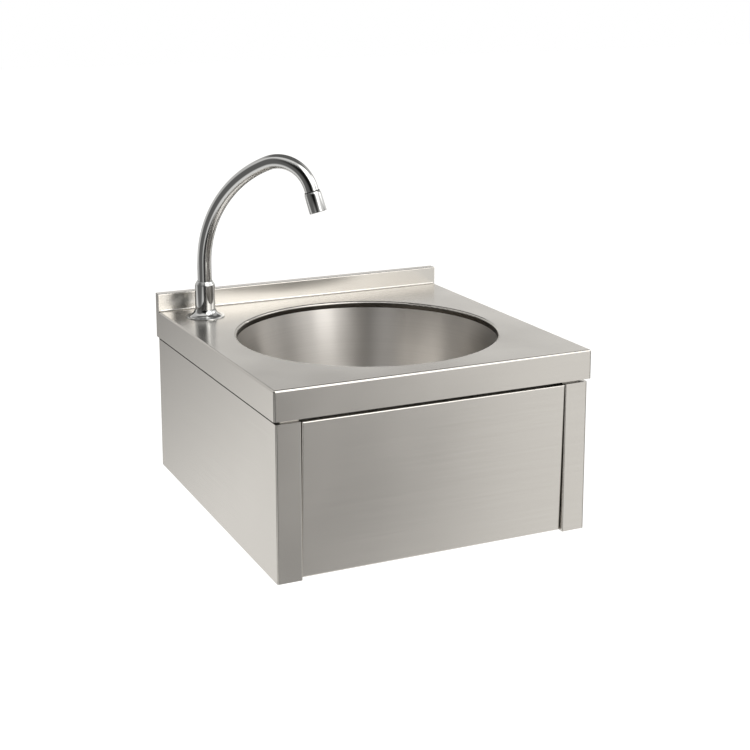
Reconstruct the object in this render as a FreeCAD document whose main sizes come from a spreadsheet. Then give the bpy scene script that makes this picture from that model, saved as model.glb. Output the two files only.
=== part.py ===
import FreeCAD, Part
import math
import os
import re

import Sketcher

# Wall-hung, knee-operated hand wash basin. Millimetres, +Z up, +X to the user's right, +Y into the wall.
# The origin lies on the wall face, on the centre line, at the height of the deck's top.

doc = FreeCAD.newDocument("hand_wash_basin")

dimensions = {
    # deck: one folded sheet with an apron in front and at the sides, and an upstand at the wall
    "deckWidth": 400,
    "deckDepth": 410,
    "apronHeight": 35,
    "upstandHeight": 23,
    "upstandThick": 12,
    "steelSheet": 1.2,
    "bendRadius": 2.5,
    # round neck pressed down from the deck, where the bowl is welded on
    "bowlSetback": 218,
    "neckRadius": 159.5,
    "neckBend": 3,
    "neckDrop": 8,
    # deep drawn bowl: leaning wall, round corner, falling floor, flat seat for the waste
    "bowlSheet": 1.2,
    "wallLean": 9,
    "wallDrop": 72,
    "cornerBend": 62,
    "floorFall": 6,
    "sumpRadius": 36,
    "sumpDrop": 3,
    "drainRadius": 21,
    # side panels: folded sheet with a strip at the front, joggled in under the apron; the lower edge rises
    # towards the wall
    "bodyHeight": 221,
    "rearRise": 11,
    "casingInset": 3,
    "shadowGap": 4,
    "joggleDepth": 8,
    "stripWidth": 30,
    "returnDepth": 20,
    "rearFlange": 15,
    "hemWidth": 12,
    # rail behind the shadow gap
    "railDrop": 46,
    "railFoot": 8,
    # sheet at the wall, with its fixing holes and the window for the pipes
    "fixingInset": 30,
    "fixingRise": 110,
    "fixingDrop": 60,
    "fixingRadius": 4.5,
    "windowWidth": 240,
    "windowHeight": 130,
    "windowFlange": 8,
    # knee panel: a folded tray that hangs from its top and leans in at the bottom
    "panelGap": 0.8,
    "trayBend": 1.8,
    "panelRise": 1,
    "trayDepth": 14,
    "panelLean": 1.6,
    "kneeTravel": 5,
    "hingeDrop": 50,
    "hingeInset": 9,
    "pinRadius": 2.5,
    "pinHead": 4.5,
    "clipThick": 1,
    "bushWall": 1,
    "bushFlange": 0.9,
    "bushRim": 0.5,
    "headRise": 2,
    "runClearance": 0.05,
    "seatGap": 0.3,
    "looseFit": 0.1,
    "tightFit": 0.02,
    "sealSlack": 0.1,
    "boltClearance": 0.2,
    "edgeBreak": 1,
    "softEdge": 0.4,
    # pad on the panel, stops and buffers
    "padRadius": 9,
    "padThick": 4,
    "stopRise": 12,
    "stopHeight": 20,
    "stopLeg": 35,
    "stopSheet": 1.5,
    "bufferRadius": 5,
    "bufferStem": 2.5,
    "bufferBarb": 3.5,
    "bufferTail": 4,
    "stopMargin": 4,
    # knee valve, lying along Y behind the panel
    "valveInset": 95,
    "valveDrop": 150,
    "bracketSheet": 2,
    "valveSetback": 26,
    "bracketEnd": 25,
    "bracketHeight": 60,
    "bracketFlange": 32,
    "valveRadius": 17,
    "valveLength": 60,
    "valveNeck": 10.5,
    "valveNose": 10,
    "lockNutHeight": 5,
    "lockNutFlats": 30,
    "chamberRadius": 12,
    "guideLength": 20,
    "domeRadius": 20,
    "headRadius": 8,
    "headLength": 5,
    "stemRadius": 4,
    "pistonLength": 10,
    "pistonTail": 8,
    "sealRadius": 1.2,
    "springRadius": 7.5,
    "springWire": 0.8,
    "springTurns": 6,
    "capFlange": 8,
    "capBoss": 6,
    "portRadius": 8.3,
    "portBore": 5,
    "portLength": 16,
    # temperature mixer under the valve
    "inletReach": 37,
    "inletDrop": 28,
    "mixerNeck": 6,
    "mixerRadius": 13,
    "mixerHeight": 22,
    "inletSpread": 26,
    "inletLength": 12,
    "unionFlats": 24,
    "unionHeight": 12,
    "spindleRadius": 3.5,
    "knobRadius": 11,
    "knobHeight": 10,
    "knobGap": 2,
    "knobRecess": 3,
    "knobFlutes": 8,
    "fluteRadius": 2.4,
    "knobHub": 5,
    "knobScrew": 1.5,
    "knobScrewHead": 4.2,
    "knobHeadRise": 2,
    "checkLength": 14,
    "galleryRadius": 5.5,
    "drumSill": 3,
    "drumRise": 6,
    "tappingDepth": 8,
    # riser tube from the valve to the spout
    "riserRadius": 5,
    "riserBore": 4,
    "riserReach": 81.5,
    "riserFlats": 22,
    "riserNutLength": 14,
    "riserThroat": 3,
    "riserSeat": 1,
    # spout shank through the deck
    "tapInset": 47,
    "tapSetback": 58.5,
    "tapHole": 11,
    "shankRadius": 10.4,
    "shankBore": 6.5,
    "shankDrop": 48,
    "shankTail": 10,
    "shoulderRadius": 14,
    "shoulderHeight": 3,
    "cupRadius": 11.2,
    "cupTop": 38,
    "cupFloor": 8,
    "ringGroove": 2,
    "ringRadius": 0.8,
    "lowerRing": 22,
    "upperRing": 32,
    "gasketThick": 1,
    "gasketRadius": 20,
    "gasketRoom": 0.5,
    "underRadius": 18,
    "underGasket": 2,
    "underWasher": 1.5,
    "backNutFlats": 27,
    "backNutHeight": 7,
    # chrome base and collar
    "flangeRadius": 24.6,
    "flangeHeight": 10,
    "flangeEdge": 1.2,
    "flareBend": 11,
    "collarRadius": 12.75,
    "collarTop": 46,
    "collarShoulder": 4.5,
    "collarRim": 0.9,
    "swivelRing": 2,
    # gooseneck: a wide bend up, a tight bend down, and a short straight end
    "spoutRadius": 9,
    "spoutBore": 7.6,
    "spoutRise": 68,
    "wideBend": 143,
    "wideSweep": 68,
    "tightBend": 44,
    "tightSweep": 94,
    "spoutEnd": 9,
    "spoutAim": 46.5,
    "spoutTuck": 6,
    # nozzle
    "nozzleTop": 10,
    "nozzleTip": 11,
    "nozzleLength": 22,
    "nozzleLip": 2,
    "nozzleWall": 1.6,
    "nozzleMouth": 8.2,
    "washerThick": 2,
    "meshHoles": 8,
    "meshHole": 1.4,
    "meshRing": 5.5,
    # waste
    "wasteFlange": 31,
    "strainerSheet": 1.2,
    "strainerDish": 17,
    "dishDrop": 3.5,
    "innerHoles": 6,
    "outerHoles": 10,
    "strainerHole": 2.2,
    "innerRing": 7.5,
    "outerRing": 13.5,
    "topWasher": 1,
    "wasteGasket": 3,
    "wasteRim": 4,
    "tailRadius": 20.95,
    "tailBore": 17.5,
    "tailDrop": 64,
    "funnelDrop": 30,
    "hubRadius": 5,
    "hubTop": 6,
    "hubDrop": 15,
    "spokeWidth": 3,
    "screwRadius": 3,
    "screwHead": 5,
    "screwRise": 1.6,
    "seatMargin": 1,
    "funnelStep": 4,
    "spokeHeight": 6,
}

sizes = doc.addObject("Spreadsheet::Sheet", "sizes")
for row, (word, number) in enumerate(dimensions.items(), start=1):
    sizes.set(f"A{row}", word)
    sizes.set(f"B{row}", str(number))
    sizes.setAlias(f"B{row}", word)
doc.recompute()


def value(formula):
    return float(sizes.evalExpression(str(formula)))


def linked(formula):
    """The same formula with each size's name pointing at its cell."""
    def cell(word):
        return f"sizes.{word.group()}" if word.group() in dimensions else word.group()
    return re.sub(r"[A-Za-z]+", cell, str(formula))


def bind(thing, **formulas):
    for name, formula in formulas.items():
        thing.setExpression(name, linked(formula))


def vector(x, y, z):
    return FreeCAD.Vector(value(x), value(y), value(z))


def arcThrough(start, end, radius, turn):
    """The shorter arc from start to end that turns left (1) or right (-1)."""
    middle = (start + end) * 0.5
    chord = end - start
    leftward = FreeCAD.Vector(-chord.y, chord.x, 0).normalize()
    toCentre = (radius ** 2 - (chord.Length / 2) ** 2) ** 0.5
    crest = middle + leftward * (turn * (toCentre - radius))
    return Part.Arc(start, crest, end)


def sketchOn(body, plane, lift="0"):
    """An empty sketch on one of the body's own planes, lifted along the plane's normal."""
    support = [item for item in body.Origin.OriginFeatures if item.Role == plane + "_Plane"][0]
    sketch = body.newObject("Sketcher::SketchObject", body.Name + "Sketch")
    sketch.AttachmentSupport = [(support, "")]
    sketch.MapMode = "FlatFace"
    bind(sketch, **{"AttachmentOffset.Base.z": lift})
    return sketch


def hold(sketch, geometry, point, x, y):
    """Dimensions from the sketch's origin to one point."""
    for kind, formula in (("DistanceX", x), ("DistanceY", y)):
        rule = sketch.addConstraint(Sketcher.Constraint(kind, -1, 1, geometry, point, value(formula)))
        bind(sketch, **{f"Constraints[{rule}]": formula})


def trace(sketch, corners, closed=True):
    """Lines from corner to corner. A corner with a radius and a turn is reached by an arc."""
    points = [vector(corner[0], corner[1], "0") for corner in corners]
    edges = []
    for index in range(0 if closed else 1, len(corners)):
        start, end = points[index - 1], points[index]
        if len(corners[index]) == 2:
            edges.append((sketch.addGeometry(Part.LineSegment(start, end)), 1, 2, index))
            continue
        radius, turn = corners[index][2:]
        bend = sketch.addGeometry(arcThrough(start, end, value(radius), turn))
        edges.append((bend, 1, 2, index) if turn > 0 else (bend, 2, 1, index))
        rule = sketch.addConstraint(Sketcher.Constraint("Radius", bend, value(radius)))
        bind(sketch, **{f"Constraints[{rule}]": radius})
    for (edge, _, tail, _), (following, head, _, _) in zip(edges, edges[1:]):
        sketch.addConstraint(Sketcher.Constraint("Coincident", edge, tail, following, head))
    if closed:
        last, first = edges[-1], edges[0]
        sketch.addConstraint(Sketcher.Constraint("Coincident", last[0], last[2], first[0], first[1]))
    else:
        hold(sketch, edges[0][0], edges[0][1], *corners[0][:2])
    for edge, _, tail, index in edges:
        hold(sketch, edge, tail, *corners[index][:2])
    return sketch


def ring(sketch, x, y, radius):
    """A circle at x, y."""
    circle = sketch.addGeometry(Part.Circle(vector(x, y, "0"), FreeCAD.Vector(0, 0, 1), value(radius)))
    hold(sketch, circle, 3, x, y)
    rule = sketch.addConstraint(Sketcher.Constraint("Radius", circle, value(radius)))
    bind(sketch, **{f"Constraints[{rule}]": radius})
    return sketch


def oblong(left, right, low, high):
    return [(left, low), (right, low), (right, high), (left, high)]


def newBody(label):
    body = doc.addObject("PartDesign::Body", label)
    body.Label = label
    return body


def feature(body, kind, profile, length):
    """A Pad or a Pocket of the given length."""
    made = body.newObject("PartDesign::" + kind, body.Name + kind)
    made.Profile = profile
    bind(made, Length=length)
    return made


def pad(body, profile, length):
    return feature(body, "Pad", profile, length)


def pocket(body, profile, length):
    """Cuts against the sketch's normal, and makes sure that it did cut."""
    doc.recompute()
    before = body.Shape.Volume
    cut = feature(body, "Pocket", profile, length)
    doc.recompute()
    if body.Shape.Volume > before - 1e-3:
        raise RuntimeError(body.Label + ": a pocket cuts nothing")
    return cut


def spin(body, profile):
    made = body.newObject("PartDesign::Revolution", body.Name + "Revolution")
    made.Profile = profile
    made.ReferenceAxis = (profile, ["V_Axis"])
    made.Angle = 360
    return made


def around(body, original, count):
    """Repeats a feature round the body's own Z axis."""
    axis = [item for item in body.Origin.OriginFeatures if item.Role == "Z_Axis"][0]
    pattern = body.newObject("PartDesign::PolarPattern", body.Name + "Pattern")
    pattern.Originals = [original]
    pattern.Axis = (axis, [""])
    pattern.Angle = 360
    bind(pattern, Occurrences=count)
    body.Tip = pattern
    return pattern


def fold(body, radius, chosen):
    """Rounds the edges of the body's last feature that the chosen test picks."""
    doc.recompute()
    last = body.Tip
    names = [f"Edge{n}" for n, edge in enumerate(last.Shape.Edges, start=1) if chosen(edge.BoundBox)]
    if not names:
        raise RuntimeError(body.Label + ": no edge to fold")
    made = body.newObject("PartDesign::Fillet", body.Name + "Fold")
    made.Base = (last, names)
    bind(made, Radius=radius)
    return made


def hollow(body, wall, chosen):
    """Leaves a sheet of the given wall inside the solid, open where the chosen test picks a face."""
    doc.recompute()
    last = body.Tip
    names = [f"Face{n}" for n, face in enumerate(last.Shape.Faces, start=1) if chosen(face.BoundBox)]
    made = body.newObject("PartDesign::Thickness", body.Name + "Sheet")
    made.Base = (last, names)
    made.Reversed = True
    bind(made, Value=wall)
    doc.recompute()
    if made.Shape.Volume > last.Shape.Volume / 2:
        raise RuntimeError(body.Label + ": the sheet stayed solid")
    return made


alongZ = FreeCAD.Rotation()
alongY = FreeCAD.Rotation(FreeCAD.Vector(1, 0, 0), -90)
alongX = FreeCAD.Rotation(FreeCAD.Vector(0, 1, 0), 90)


def seat(thing, x, y, z, rotation=alongZ):
    """Puts a piece's own origin at x, y, z."""
    thing.Placement = FreeCAD.Placement(vector(x, y, z), rotation)
    bind(thing, **{"Placement.Base.x": x, "Placement.Base.y": y, "Placement.Base.z": z})
    return thing


def turned(label, outline):
    """A round piece: the outline's pairs are radius and height on its own Z axis."""
    body = newBody(label)
    spin(body, trace(sketchOn(body, "XZ"), outline))
    return body


def washer(label, inner, outer, low, high):
    return turned(label, oblong(inner, outer, low, high))


def primitive(kind, label, **formulas):
    made = doc.addObject("Part::" + kind, label)
    bind(made, **formulas)
    return made


def joined(kind, label, base, tool):
    """A Cut or a Common of two shapes."""
    made = doc.addObject("Part::" + kind, label)
    made.Base = base
    made.Tool = tool
    return made


def hexNut(label, flats, height, bore, throat=None, throatHeight="0"):
    """A chamfered hexagon standing on z = 0, bored through, with a narrower throat at its top."""
    corner = f"{flats} / 2 / cos(30)"
    prism = primitive("Prism", label + "Prism", Circumradius=corner, Height=height)
    prism.Polygon = 6
    waist = f"{flats} / 2"
    drop = f"({corner} - {waist}) * tan(30)"
    blank = turned(label + "Blank", [("0", "0"), (waist, "0"), (corner, drop), (corner, f"{height} - {drop}"),
                                     (waist, height), ("0", height)])
    chamfered = joined("Common", label + "Chamfered", prism, blank)
    hole = primitive("Cylinder", label + "Bore", Radius=bore, Height=f"{height} - {throatHeight}")
    nut = joined("Cut", label, chamfered, hole)
    if throat:
        narrow = primitive("Cylinder", label + "Throat", Radius=throat, Height=height)
        nut.Label = label + "Wide"
        nut = joined("Cut", label + "Through", nut, narrow)
    nut.Label = label
    return nut


def mirrored(label, source):
    """The same piece on the other side of the centre line."""
    made = doc.addObject("Part::Mirroring", label)
    made.Source = source
    made.Normal = FreeCAD.Vector(1, 0, 0)
    made.Label = label
    return made


def group(label, pieces):
    """Identical loose pieces in one node."""
    made = doc.addObject("Part::Compound", label)
    made.Links = pieces
    made.Label = label
    return made


def pairOf(label, source):
    source.Label = label + "_right"
    return group(label, [source, mirrored(label + "_left", source)])


# Lines and planes that several pieces share.
side = "deckWidth / 2"
casingSide = f"({side} - casingInset)"
casingFront = "(deckDepth - casingInset)"
casingTop = "(apronHeight + shadowGap)"
lipSide = f"({casingSide} - joggleDepth)"
lipFront = f"({casingFront} - joggleDepth)"
stripEdge = f"({casingSide} - stripWidth)"
hingeSetback = f"({casingFront} - hingeInset)"
panelSide = f"({stripEdge} - panelGap)"
wallFootRadius = "(neckRadius - wallDrop * tan(wallLean))"
wallFoot = "(neckDrop + wallDrop)"
floorRimRadius = f"({wallFootRadius} - cornerBend * (cos(wallLean) - sin(floorFall)))"
floorRim = f"({wallFoot} + cornerBend * (cos(floorFall) - sin(wallLean)))"
sumpRim = f"({floorRim} + ({floorRimRadius} - sumpRadius) * tan(floorFall))"
wasteSeat = f"({sumpRim} + sumpDrop)"
fixingSide = f"({side} - fixingInset)"
stopLine = "(bodyHeight - stopRise)"
tapSide = f"({side} - tapInset)"
valveSide = f"({side} - valveInset)"
bracketBack = f"({hingeSetback} - valveSetback)"
portLine = f"({bracketBack} - inletReach)"


def makeDeck():
    """Deck, apron and upstand folded from one sheet, with the neck of the bowl opening."""
    body = newBody("deck_top")
    block = trace(sketchOn(body, "XY", "-apronHeight"), oblong(f"-{side}", side, "-deckDepth", "0"))
    pad(body, block, "apronHeight")
    low, front, wide = value("-apronHeight"), value("-deckDepth"), value(side)
    fold(body, "bendRadius", lambda box: (box.ZMin > -0.01 and box.YMin < -0.01)
         or (box.YMax < front + 0.01 and box.ZLength > 1))
    foot = "1.2 * bendRadius"
    upstand = oblong(f"-{side}", side, "-upstandThick", "0")
    pad(body, trace(sketchOn(body, "XY", f"-{foot}"), upstand), f"upstandHeight + {foot}")
    top = value("upstandHeight")
    fold(body, "bendRadius / 2", lambda box: box.ZMin > top - 0.01 and box.XLength > wide and box.YMax < -0.01)
    hollow(body, "steelSheet", lambda box: box.ZMax < low + 0.01)
    cove = trace(sketchOn(body, "YZ", f"bendRadius - {side}"), [
        ("-upstandThick", "0"), ("-upstandThick", "bendRadius"),
        ("-upstandThick - bendRadius", "0", "bendRadius", -1)])
    pad(body, cove, f"2 * ({side} - bendRadius)")
    opening = sketchOn(body, "XY", "1")
    ring(opening, "0", "-bowlSetback", "neckRadius + neckBend")
    pocket(body, opening, "apronHeight - 5")
    lip = "neckRadius + steelSheet"
    neck = sketchOn(body, "XZ", "bowlSetback")
    trace(neck, [("neckRadius + neckBend", "0"), ("neckRadius", "-neckBend", "neckBend", 1),
                 ("neckRadius", "-neckDrop"), (lip, "-neckDrop"), (lip, "-neckBend"),
                 ("neckRadius + neckBend", "-steelSheet", "neckBend - steelSheet", -1)])
    spin(body, neck)
    hole = sketchOn(body, "XY", "1")
    ring(hole, f"-{tapSide}", "-tapSetback", "tapHole")
    pocket(body, hole, "2 * steelSheet + 1")
    return body


def makeBowl():
    """Drawn bowl with a constant wall, open at the drain."""
    outerRim = f"({floorRim} + bowlSheet * cos(floorFall))"
    outerRimRadius = f"({floorRimRadius} + bowlSheet * sin(floorFall))"
    outerSump = f"({outerRim} + ({outerRimRadius} - sumpRadius - bowlSheet) * tan(floorFall))"
    step = "sumpRadius - 2"
    bowl = turned("bowl", [
        ("neckRadius", "-neckDrop"), (wallFootRadius, f"-{wallFoot}"),
        (floorRimRadius, f"-{floorRim}", "cornerBend", -1), ("sumpRadius", f"-{sumpRim}"),
        (step, f"-{wasteSeat}"), ("drainRadius", f"-{wasteSeat}"),
        ("drainRadius", f"-{wasteSeat} - bowlSheet"), (step, f"-{wasteSeat} - bowlSheet"),
        ("sumpRadius + bowlSheet", f"-{outerSump}"), (outerRimRadius, f"-{outerRim}"),
        (f"{wallFootRadius} + bowlSheet * cos(wallLean)", f"-{wallFoot} - bowlSheet * sin(wallLean)",
         "cornerBend + bowlSheet", 1),
        ("neckRadius + bowlSheet", "-neckDrop")])
    return seat(bowl, "0", "-bowlSetback", "0")


def makeSidePanel():
    """Right panel: one sheet folded round the front corner, back behind the knee panel and in at the wall."""
    body = newBody("right_side_panel")
    inside = f"{casingSide} - steelSheet"
    wrap = [(stripEdge, f"-{casingFront}"), (casingSide, f"-{casingFront}"), (casingSide, "-steelSheet"),
            (f"{casingSide} - rearFlange", "-steelSheet"), (f"{casingSide} - rearFlange", "-2 * steelSheet"),
            (inside, "-2 * steelSheet"), (inside, f"-{casingFront} + steelSheet"),
            (f"{stripEdge} + steelSheet", f"-{casingFront} + steelSheet"),
            (f"{stripEdge} + steelSheet", f"-{casingFront} + returnDepth"),
            (stripEdge, f"-{casingFront} + returnDepth")]
    pad(body, trace(sketchOn(body, "XY", "-bodyHeight"), wrap), f"bodyHeight - {casingTop}")
    corner, front, sheet = value(casingSide), -value(casingFront), value("steelSheet")
    fold(body, "bendRadius", lambda box: box.ZLength > 10 and box.XMin > corner - 0.01 and box.YMax < front + 0.01)
    fold(body, "bendRadius - steelSheet", lambda box: box.ZLength > 10 and box.YMax < front + sheet + 0.01
         and abs(box.XMin - corner + sheet) < 0.01)
    fold(body, "bendRadius / 2", lambda box: box.ZLength > 10 and box.YMax < front + 0.01
         and abs(box.XMin - value(stripEdge)) < 0.01)
    lipInside = f"{lipSide} - steelSheet"
    lipBack = f"-{lipFront} + steelSheet"
    shelf = [(stripEdge, f"-{casingFront} + steelSheet"), (inside, f"-{casingFront} + steelSheet"),
             (inside, "-2 * steelSheet"), (lipInside, "-2 * steelSheet"), (lipInside, lipBack),
             (stripEdge, lipBack)]
    pad(body, trace(sketchOn(body, "XY", f"-{casingTop} - steelSheet"), shelf), "steelSheet")
    lip = [(stripEdge, f"-{lipFront}"), (lipSide, f"-{lipFront}"), (lipSide, "-steelSheet"),
           (lipInside, "-steelSheet"), (lipInside, lipBack), (stripEdge, lipBack)]
    pad(body, trace(sketchOn(body, "XY", f"-{casingTop} - steelSheet"), lip), casingTop)
    foot = "(-bodyHeight)"
    below = f"({foot} - 1)"
    slope = [(f"-{casingFront}", below), ("0", below), ("0", f"{foot} + rearRise"), (f"-{casingFront}", foot)]
    pocket(body, trace(sketchOn(body, "YZ", side), slope), "casingInset + stripWidth + 1")
    near = f"{foot} + rearRise * steelSheet / {casingFront}"
    far = f"{foot} + rearRise * ({casingFront} - 2 * steelSheet) / {casingFront}"
    hem = [(f"-{casingFront} + steelSheet", near), ("-2 * steelSheet", far),
           ("-2 * steelSheet", f"{far} + steelSheet"), (f"-{casingFront} + steelSheet", f"{near} + steelSheet")]
    pad(body, trace(sketchOn(body, "YZ", f"{inside} - hemWidth"), hem), "hemWidth")
    hole = sketchOn(body, "YZ", f"{stripEdge} + 2 * steelSheet")
    ring(hole, f"-{hingeSetback}", "-hingeDrop", "pinRadius + runClearance")
    pocket(body, hole, "3 * steelSheet")
    return body


def makeFrontRail():
    """Angle that closes the shadow gap behind and ties the side panels together."""
    body = newBody("front_rail")
    web = f"-{casingFront} + returnDepth"
    corners = [(web, "-railDrop"), (f"{web} + steelSheet + railFoot", "-railDrop"),
               (f"{web} + steelSheet + railFoot", "-railDrop + steelSheet"),
               (f"{web} + steelSheet", "-railDrop + steelSheet"), (f"{web} + steelSheet", "-steelSheet"),
               (web, "-steelSheet")]
    end = f"({lipSide} - steelSheet)"
    pad(body, trace(sketchOn(body, "YZ", f"-{end}"), corners), f"2 * {end}")
    return body


def makeWallFrame():
    """Back sheet under the deck's rear edge, with a flanged window for pipes and four fixing holes."""
    body = newBody("wall_frame")
    middle = "(fixingDrop + fixingRise / 2)"
    low = f"-{middle} - windowHeight / 2"
    high = f"-{middle} + windowHeight / 2"
    sheet = sketchOn(body, "XZ")
    trace(sheet, oblong(f"-{casingSide}", casingSide, "rearRise - bodyHeight", "-apronHeight"))
    trace(sheet, oblong("-windowWidth / 2", "windowWidth / 2", low, high))
    for across in (f"-{fixingSide}", fixingSide):
        for drop in ("-fixingDrop", "-fixingDrop - fixingRise"):
            ring(sheet, across, drop, "fixingRadius")
    pad(body, sheet, "steelSheet")
    edge = sketchOn(body, "XZ", "steelSheet")
    trace(edge, oblong("-windowWidth / 2", "windowWidth / 2", low, high))
    trace(edge, oblong("-windowWidth / 2 - steelSheet", "windowWidth / 2 + steelSheet",
                       f"{low} - steelSheet", f"{high} + steelSheet"))
    pad(body, edge, "windowFlange - steelSheet")
    return body


def makeKneePanel():
    """Tray modelled upright about its hinge axis, then leaned in at the bottom."""
    body = newBody("knee_panel")
    top = f"hingeDrop - {casingTop}"
    bottom = "-bodyHeight + panelRise + hingeDrop"
    block = trace(sketchOn(body, "XZ", "hingeInset - trayDepth"), oblong(f"-{panelSide}", panelSide, bottom, top))
    pad(body, block, "trayDepth")
    front, back = value("-hingeInset"), value("trayDepth - hingeInset")
    fold(body, "trayBend", lambda box: box.YMax < front + 0.01)
    hollow(body, "steelSheet", lambda box: box.YMin > back - 0.01)
    hole = sketchOn(body, "YZ", f"{panelSide} + 1")
    ring(hole, "0", "0", "pinRadius + runClearance + bushWall")
    pocket(body, hole, f"2 * {panelSide} + 2")
    body.Placement = panelSeat
    return body


# Frame of the leaning panel: its origin is the middle of the hinge axis.
panelSeat = FreeCAD.Placement(vector("0", f"-{hingeSetback}", "-hingeDrop"),
                              FreeCAD.Rotation(FreeCAD.Vector(1, 0, 0), value("panelLean")))


def onPanel(thing, x, y, z, rotation):
    """Puts a piece in the leaning panel's frame."""
    thing.Placement = panelSeat.multiply(FreeCAD.Placement(vector(x, y, z), rotation))
    return thing


def onHinge(piece):
    """Lays a round piece along the hinge axis."""
    return seat(piece, "0", f"-{hingeSetback}", "-hingeDrop", alongX)


def makeHinge():
    """Riveted pins in the side panels' returns, clips on their ends and flanged bushes in the tray."""
    outside = f"{stripEdge} + steelSheet"
    flange = f"({panelSide} - steelSheet)"
    bore = "pinRadius + runClearance"
    clip = f"{flange} - bushFlange - seatGap - clipThick"
    tip = f"{clip} - clipThick"
    neck = "0.8 * pinRadius"
    pins = turned("hinge_pin", [
        ("0", tip), ("pinRadius", tip), ("pinRadius", clip), (neck, clip), (neck, f"{clip} + clipThick"),
        ("pinRadius", f"{clip} + clipThick"), ("pinRadius", outside), ("pinHead", outside),
        ("pinHead", f"{outside} + headRise / 2"), ("0.6 * pinHead", f"{outside} + headRise"),
        ("0", f"{outside} + headRise")])
    clips = washer("hinge_clip", f"{neck} + runClearance", "pinHead", f"{clip} + runClearance", f"{clip} + clipThick")
    bushes = turned("hinge_bush", [
        (bore, f"{flange} - bushFlange"), ("pinHead + bushRim", f"{flange} - bushFlange"),
        ("pinHead + bushRim", flange),
        (f"{bore} + bushWall", flange), (f"{bore} + bushWall", f"{panelSide} + panelGap / 2"),
        (bore, f"{panelSide} + panelGap / 2")])
    return [pairOf("hinge_pins", onHinge(pins)), pairOf("hinge_clips", onHinge(clips)),
            pairOf("hinge_bushes", onHinge(bushes))]


def makePushPad():
    """Nylon pad on the tray's inner face, in line with the valve."""
    face = "steelSheet - hingeInset"
    button = turned("push_pad", [("0", "0"), ("padRadius", "0"), ("padRadius", "padThick - edgeBreak"),
                                 ("padRadius - edgeBreak", "padThick"), ("0", "padThick")])
    return onPanel(button, f"-{valveSide}", face, "hingeDrop - valveDrop", alongY)


def makeStops():
    """Angles welded to the side panels' returns, each with a rubber buffer behind the tray's side flange."""
    outside = f"({stripEdge} + steelSheet)"
    inner = f"({stripEdge} - 2 * bufferRadius - stopMargin)"
    start = f"-{casingFront} + returnDepth / 2"
    back = f"({start} + stopLeg)"
    bracket = newBody("stop_bracket")
    leg = [(outside, start), (f"{outside} + stopSheet", start), (f"{outside} + stopSheet", back), (inner, back),
           (inner, f"{back} - stopSheet"), (outside, f"{back} - stopSheet")]
    pad(bracket, trace(sketchOn(bracket, "XY", f"-{stopLine} - stopHeight / 2"), leg), "stopHeight")
    middle = f"({stripEdge} - bufferRadius)"
    hole = sketchOn(bracket, "XZ", f"-({back}) + 2 * stopSheet")
    ring(hole, middle, f"-{stopLine}", "bufferStem + runClearance")
    pocket(bracket, hole, "3 * stopSheet")
    swing = "(panelLean + kneeTravel)"
    reach = f"({stopLine} - hingeDrop + bufferRadius)"
    face = f"(-{hingeSetback} + (trayDepth - hingeInset) / cos({swing}) + {reach} * tan({swing}) + seatGap)"
    buffer = turned("stop_buffer", [
        ("0", face), ("bufferRadius - edgeBreak", face), ("bufferRadius", f"{face} + edgeBreak"),
        ("bufferRadius", f"{back} - stopSheet"), ("bufferStem", f"{back} - stopSheet"), ("bufferStem", back),
        ("bufferBarb", back), ("bufferStem", f"{back} + bufferTail"), ("0", f"{back} + bufferTail")])
    seat(buffer, middle, "0", f"-{stopLine}", alongY)
    return [pairOf("stop_brackets", bracket), pairOf("stop_buffers", buffer)]


# Stations of the knee valve along Y, as distances in front of the wall.
noseFront = f"({bracketBack} + bracketSheet + valveNose)"
chamberFront = f"({noseFront} - guideLength)"
valveRear = f"({bracketBack} - valveLength)"
capRear = f"({valveRear} - capFlange)"
outletEnd = f"({capRear} - portLength)"
padFace = "(hingeInset - steelSheet - padThick)"
contactLine = f"({hingeSetback} - (valveDrop - hingeDrop) * tan(panelLean) + {padFace} / cos(panelLean))"
plungerTip = f"({contactLine} - domeRadius * (1 / cos(panelLean) - 1) - seatGap)"
pistonFront = f"({chamberFront} - seatGap)"
pistonRear = f"({pistonFront} - pistonLength)"


def alongValve(piece):
    return seat(piece, f"-{valveSide}", "0", "-valveDrop", alongY)


def makeValveBracket():
    """Folded plate from the left side panel to the valve."""
    body = newBody("valve_bracket")
    wall = f"-{casingSide} + steelSheet"
    back = f"-{bracketBack}"
    front = f"{back} - bracketSheet"
    free = f"-{valveSide} + bracketEnd"
    plate = [(wall, front), (free, front), (free, back), (f"{wall} + bracketSheet", back),
             (f"{wall} + bracketSheet", f"{back} + bracketFlange"), (wall, f"{back} + bracketFlange")]
    pad(body, trace(sketchOn(body, "XY", "-valveDrop - bracketHeight / 2"), plate), "bracketHeight")
    edge = value(free)
    fold(body, "4 * bracketSheet", lambda box: box.YLength > 1 and box.XMin > edge - 0.01 and box.ZLength < 0.01)
    hole = sketchOn(body, "XZ", f"{bracketBack} + 2 * bracketSheet")
    ring(hole, f"-{valveSide}", "-valveDrop", "valveNeck + boltClearance")
    pocket(body, hole, "3 * bracketSheet")
    return body


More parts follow.
